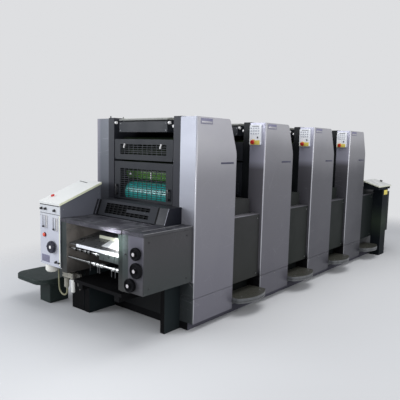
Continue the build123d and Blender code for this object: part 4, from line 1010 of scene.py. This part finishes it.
def feed_board_guards():
    """The dark side plates along the feed board."""
    shape = bmesh.new()
    for side in sides:
        low, high = sorted((side * 0.434, side * 0.438))
        brick(shape, (1.965, low, 0.789), (2.560, high, 0.852), 0.0012)
        for x in (2.02, 2.26, 2.50):
            screw(shape, (x, side * 0.438, 0.806), side * Y, 0.004, 1)
    piece("feed_board_guards", shape, "frame_paint", feeder_paint, dull_steel)


def sucker_lips():
    """Soft lips and springs of the four suckers."""
    shape = bmesh.new()
    for y in (-0.120, -0.045, 0.045, 0.120):
        turned(shape, (2.365, y, 1.0155), Z,
               [(0.0085, 0.0), (0.0158, -0.0003), (0.0164, 0.002), (0.0135, 0.0075), (0.0085, 0.0105)], 24)
        for turn in range(5):
            turned(shape, (2.365, y, 1.0300 + turn * 0.0065), Z,
                   [(0.0068, 0), (0.0098, 0.0006), (0.0098, 0.0022), (0.0068, 0.0028)], 16, 1)
    piece("sucker_lips", shape, "black_plastic", rubber, steel)


def feeder_console_details():
    """The black knob on the sloping lid and the bare yellow plate of the pedestal."""
    slope = math.atan2(0.060, 0.200)
    shape = bmesh.new()
    turned(shape, Vector((2.505, -0.530, 0.908 + 0.115 * math.tan(slope))),
           Vector((0, -math.sin(slope), math.cos(slope))),
           [(0.0, -0.001), (0.011, -0.001), (0.011, 0.008), (0.0185, 0.010), (0.0195, 0.014), (0.0165, 0.018),
            (0, 0.020)], 28)
    piece("feeder_console_knob", shape, "console_white", black_plastic)
    shape = bmesh.new()
    brick(shape, (2.296, -0.6515, 0.786), (2.420, -0.6495, 0.846), 0.0006)
    piece("pedestal_plate", shape, "console_white", yellow_label)


feed_board_details()
screws("feeder_frame_screws", "frame_paint", 0.007, [
    ((x, side * 0.45, z), side * Y) for side in sides for x in (2.02, 2.24, 2.60, 2.84) for z in (0.12, 0.74)])
feed_board_guards()
sucker_lips()
feeder_console_details()


# Floor, backdrop and light

def backdrop():
    """A pale floor that fades out into the background and keeps the press's shadow."""
    shape = bmesh.new()
    bmesh.ops.create_grid(shape, x_segments=1, y_segments=1, size=14.0,
                          matrix=Matrix.Translation((0.4, 0, -0.001)))
    mesh = bpy.data.meshes.new("studio_floor")
    shape.to_mesh(mesh)
    shape.free()
    floor = bpy.data.objects.new("studio_floor", mesh)
    scene.collection.objects.link(floor)
    finish = Finish("studio_floor", (0.545, 0.552, 0.56), 0.9, specular=0.0)
    tree = finish.tree
    centre = add(tree, "ShaderNodeMapping",
                 {"Vector": finish.place, "Location": (-0.25, 0.0, 0.0), "Scale": (0.27, 0.45, 0.0)})
    away = add(tree, "ShaderNodeVectorMath", {0: centre["Vector"]}, operation="LENGTH")
    fade = add(tree, "ShaderNodeMapRange", {"Value": away["Value"], "From Min": 0.85, "From Max": 1.5},
               interpolation_type="SMOOTHSTEP")
    clear = add(tree, "ShaderNodeBsdfTransparent")["BSDF"]
    mix = add(tree, "ShaderNodeMixShader", {"Fac": fade["Result"], 1: finish.shader.outputs["BSDF"], 2: clear})
    tree.links.new(mix["Shader"], tree.nodes["Material Output"].inputs["Surface"])
    mesh.materials.append(finish.material)


def studio():
    """Soft light from the sky, and the pale background that the camera sees."""
    world = bpy.data.worlds.new("studio")
    world.use_nodes = True
    scene.world = world
    tree = world.node_tree
    light = tree.nodes["Background"]
    light.inputs["Color"].default_value = (0.80, 0.82, 0.88, 1.0)
    light.inputs["Strength"].default_value = 0.62
    shown = add(tree, "ShaderNodeBackground", {"Color": (0.730, 0.737, 0.753, 1.0), "Strength": 1.0})
    ray = add(tree, "ShaderNodeLightPath")
    seen = add(tree, "ShaderNodeMath", {0: ray["Is Camera Ray"], 1: ray["Is Transmission Ray"]},
               operation="MAXIMUM")
    mix = add(tree, "ShaderNodeMixShader",
              {"Fac": seen["Value"], 1: light.outputs["Background"], 2: shown["Background"]})
    tree.links.new(mix["Shader"], tree.nodes["World Output"].inputs["Surface"])


def softbox(name, place, aim, size, power, colour=(1, 1, 1), spread=180):
    """A rectangular studio lamp."""
    data = bpy.data.lights.new(name, "AREA")
    data.shape = "RECTANGLE"
    data.size, data.size_y = size
    data.energy = power
    data.spread = math.radians(spread)
    data.color = colour
    lamp = bpy.data.objects.new(name, data)
    scene.collection.objects.link(lamp)
    turn = (Vector(aim) - Vector(place)).to_track_quat("-Z", "Y").to_matrix().to_4x4()
    lamp.matrix_world = Matrix.Translation(place) @ turn


backdrop()
studio()
softbox("overhead", (0.2, -0.8, 4.6), (0.2, 0, 0.8), (5.0, 3.0), 150)
softbox("delivery_side", (-5.0, 2.9, 2.5), (-1.3, -0.4, 1.1), (2.8, 2.6), 150, (0.92, 0.95, 1.0))
softbox("operator_side", (1.5, -5.0, 2.6), (0.5, -0.5, 1.2), (5.0, 1.8), 90)
softbox("delivery_low", (-2.9, -1.0, 1.05), (-1.72, -0.02, 0.62), (0.6, 0.4), 8)
softbox("sheet_spot", (-2.75, -0.45, 0.98), (-1.60, -0.19, 0.645), (0.12, 0.08), 1.6, spread=14)
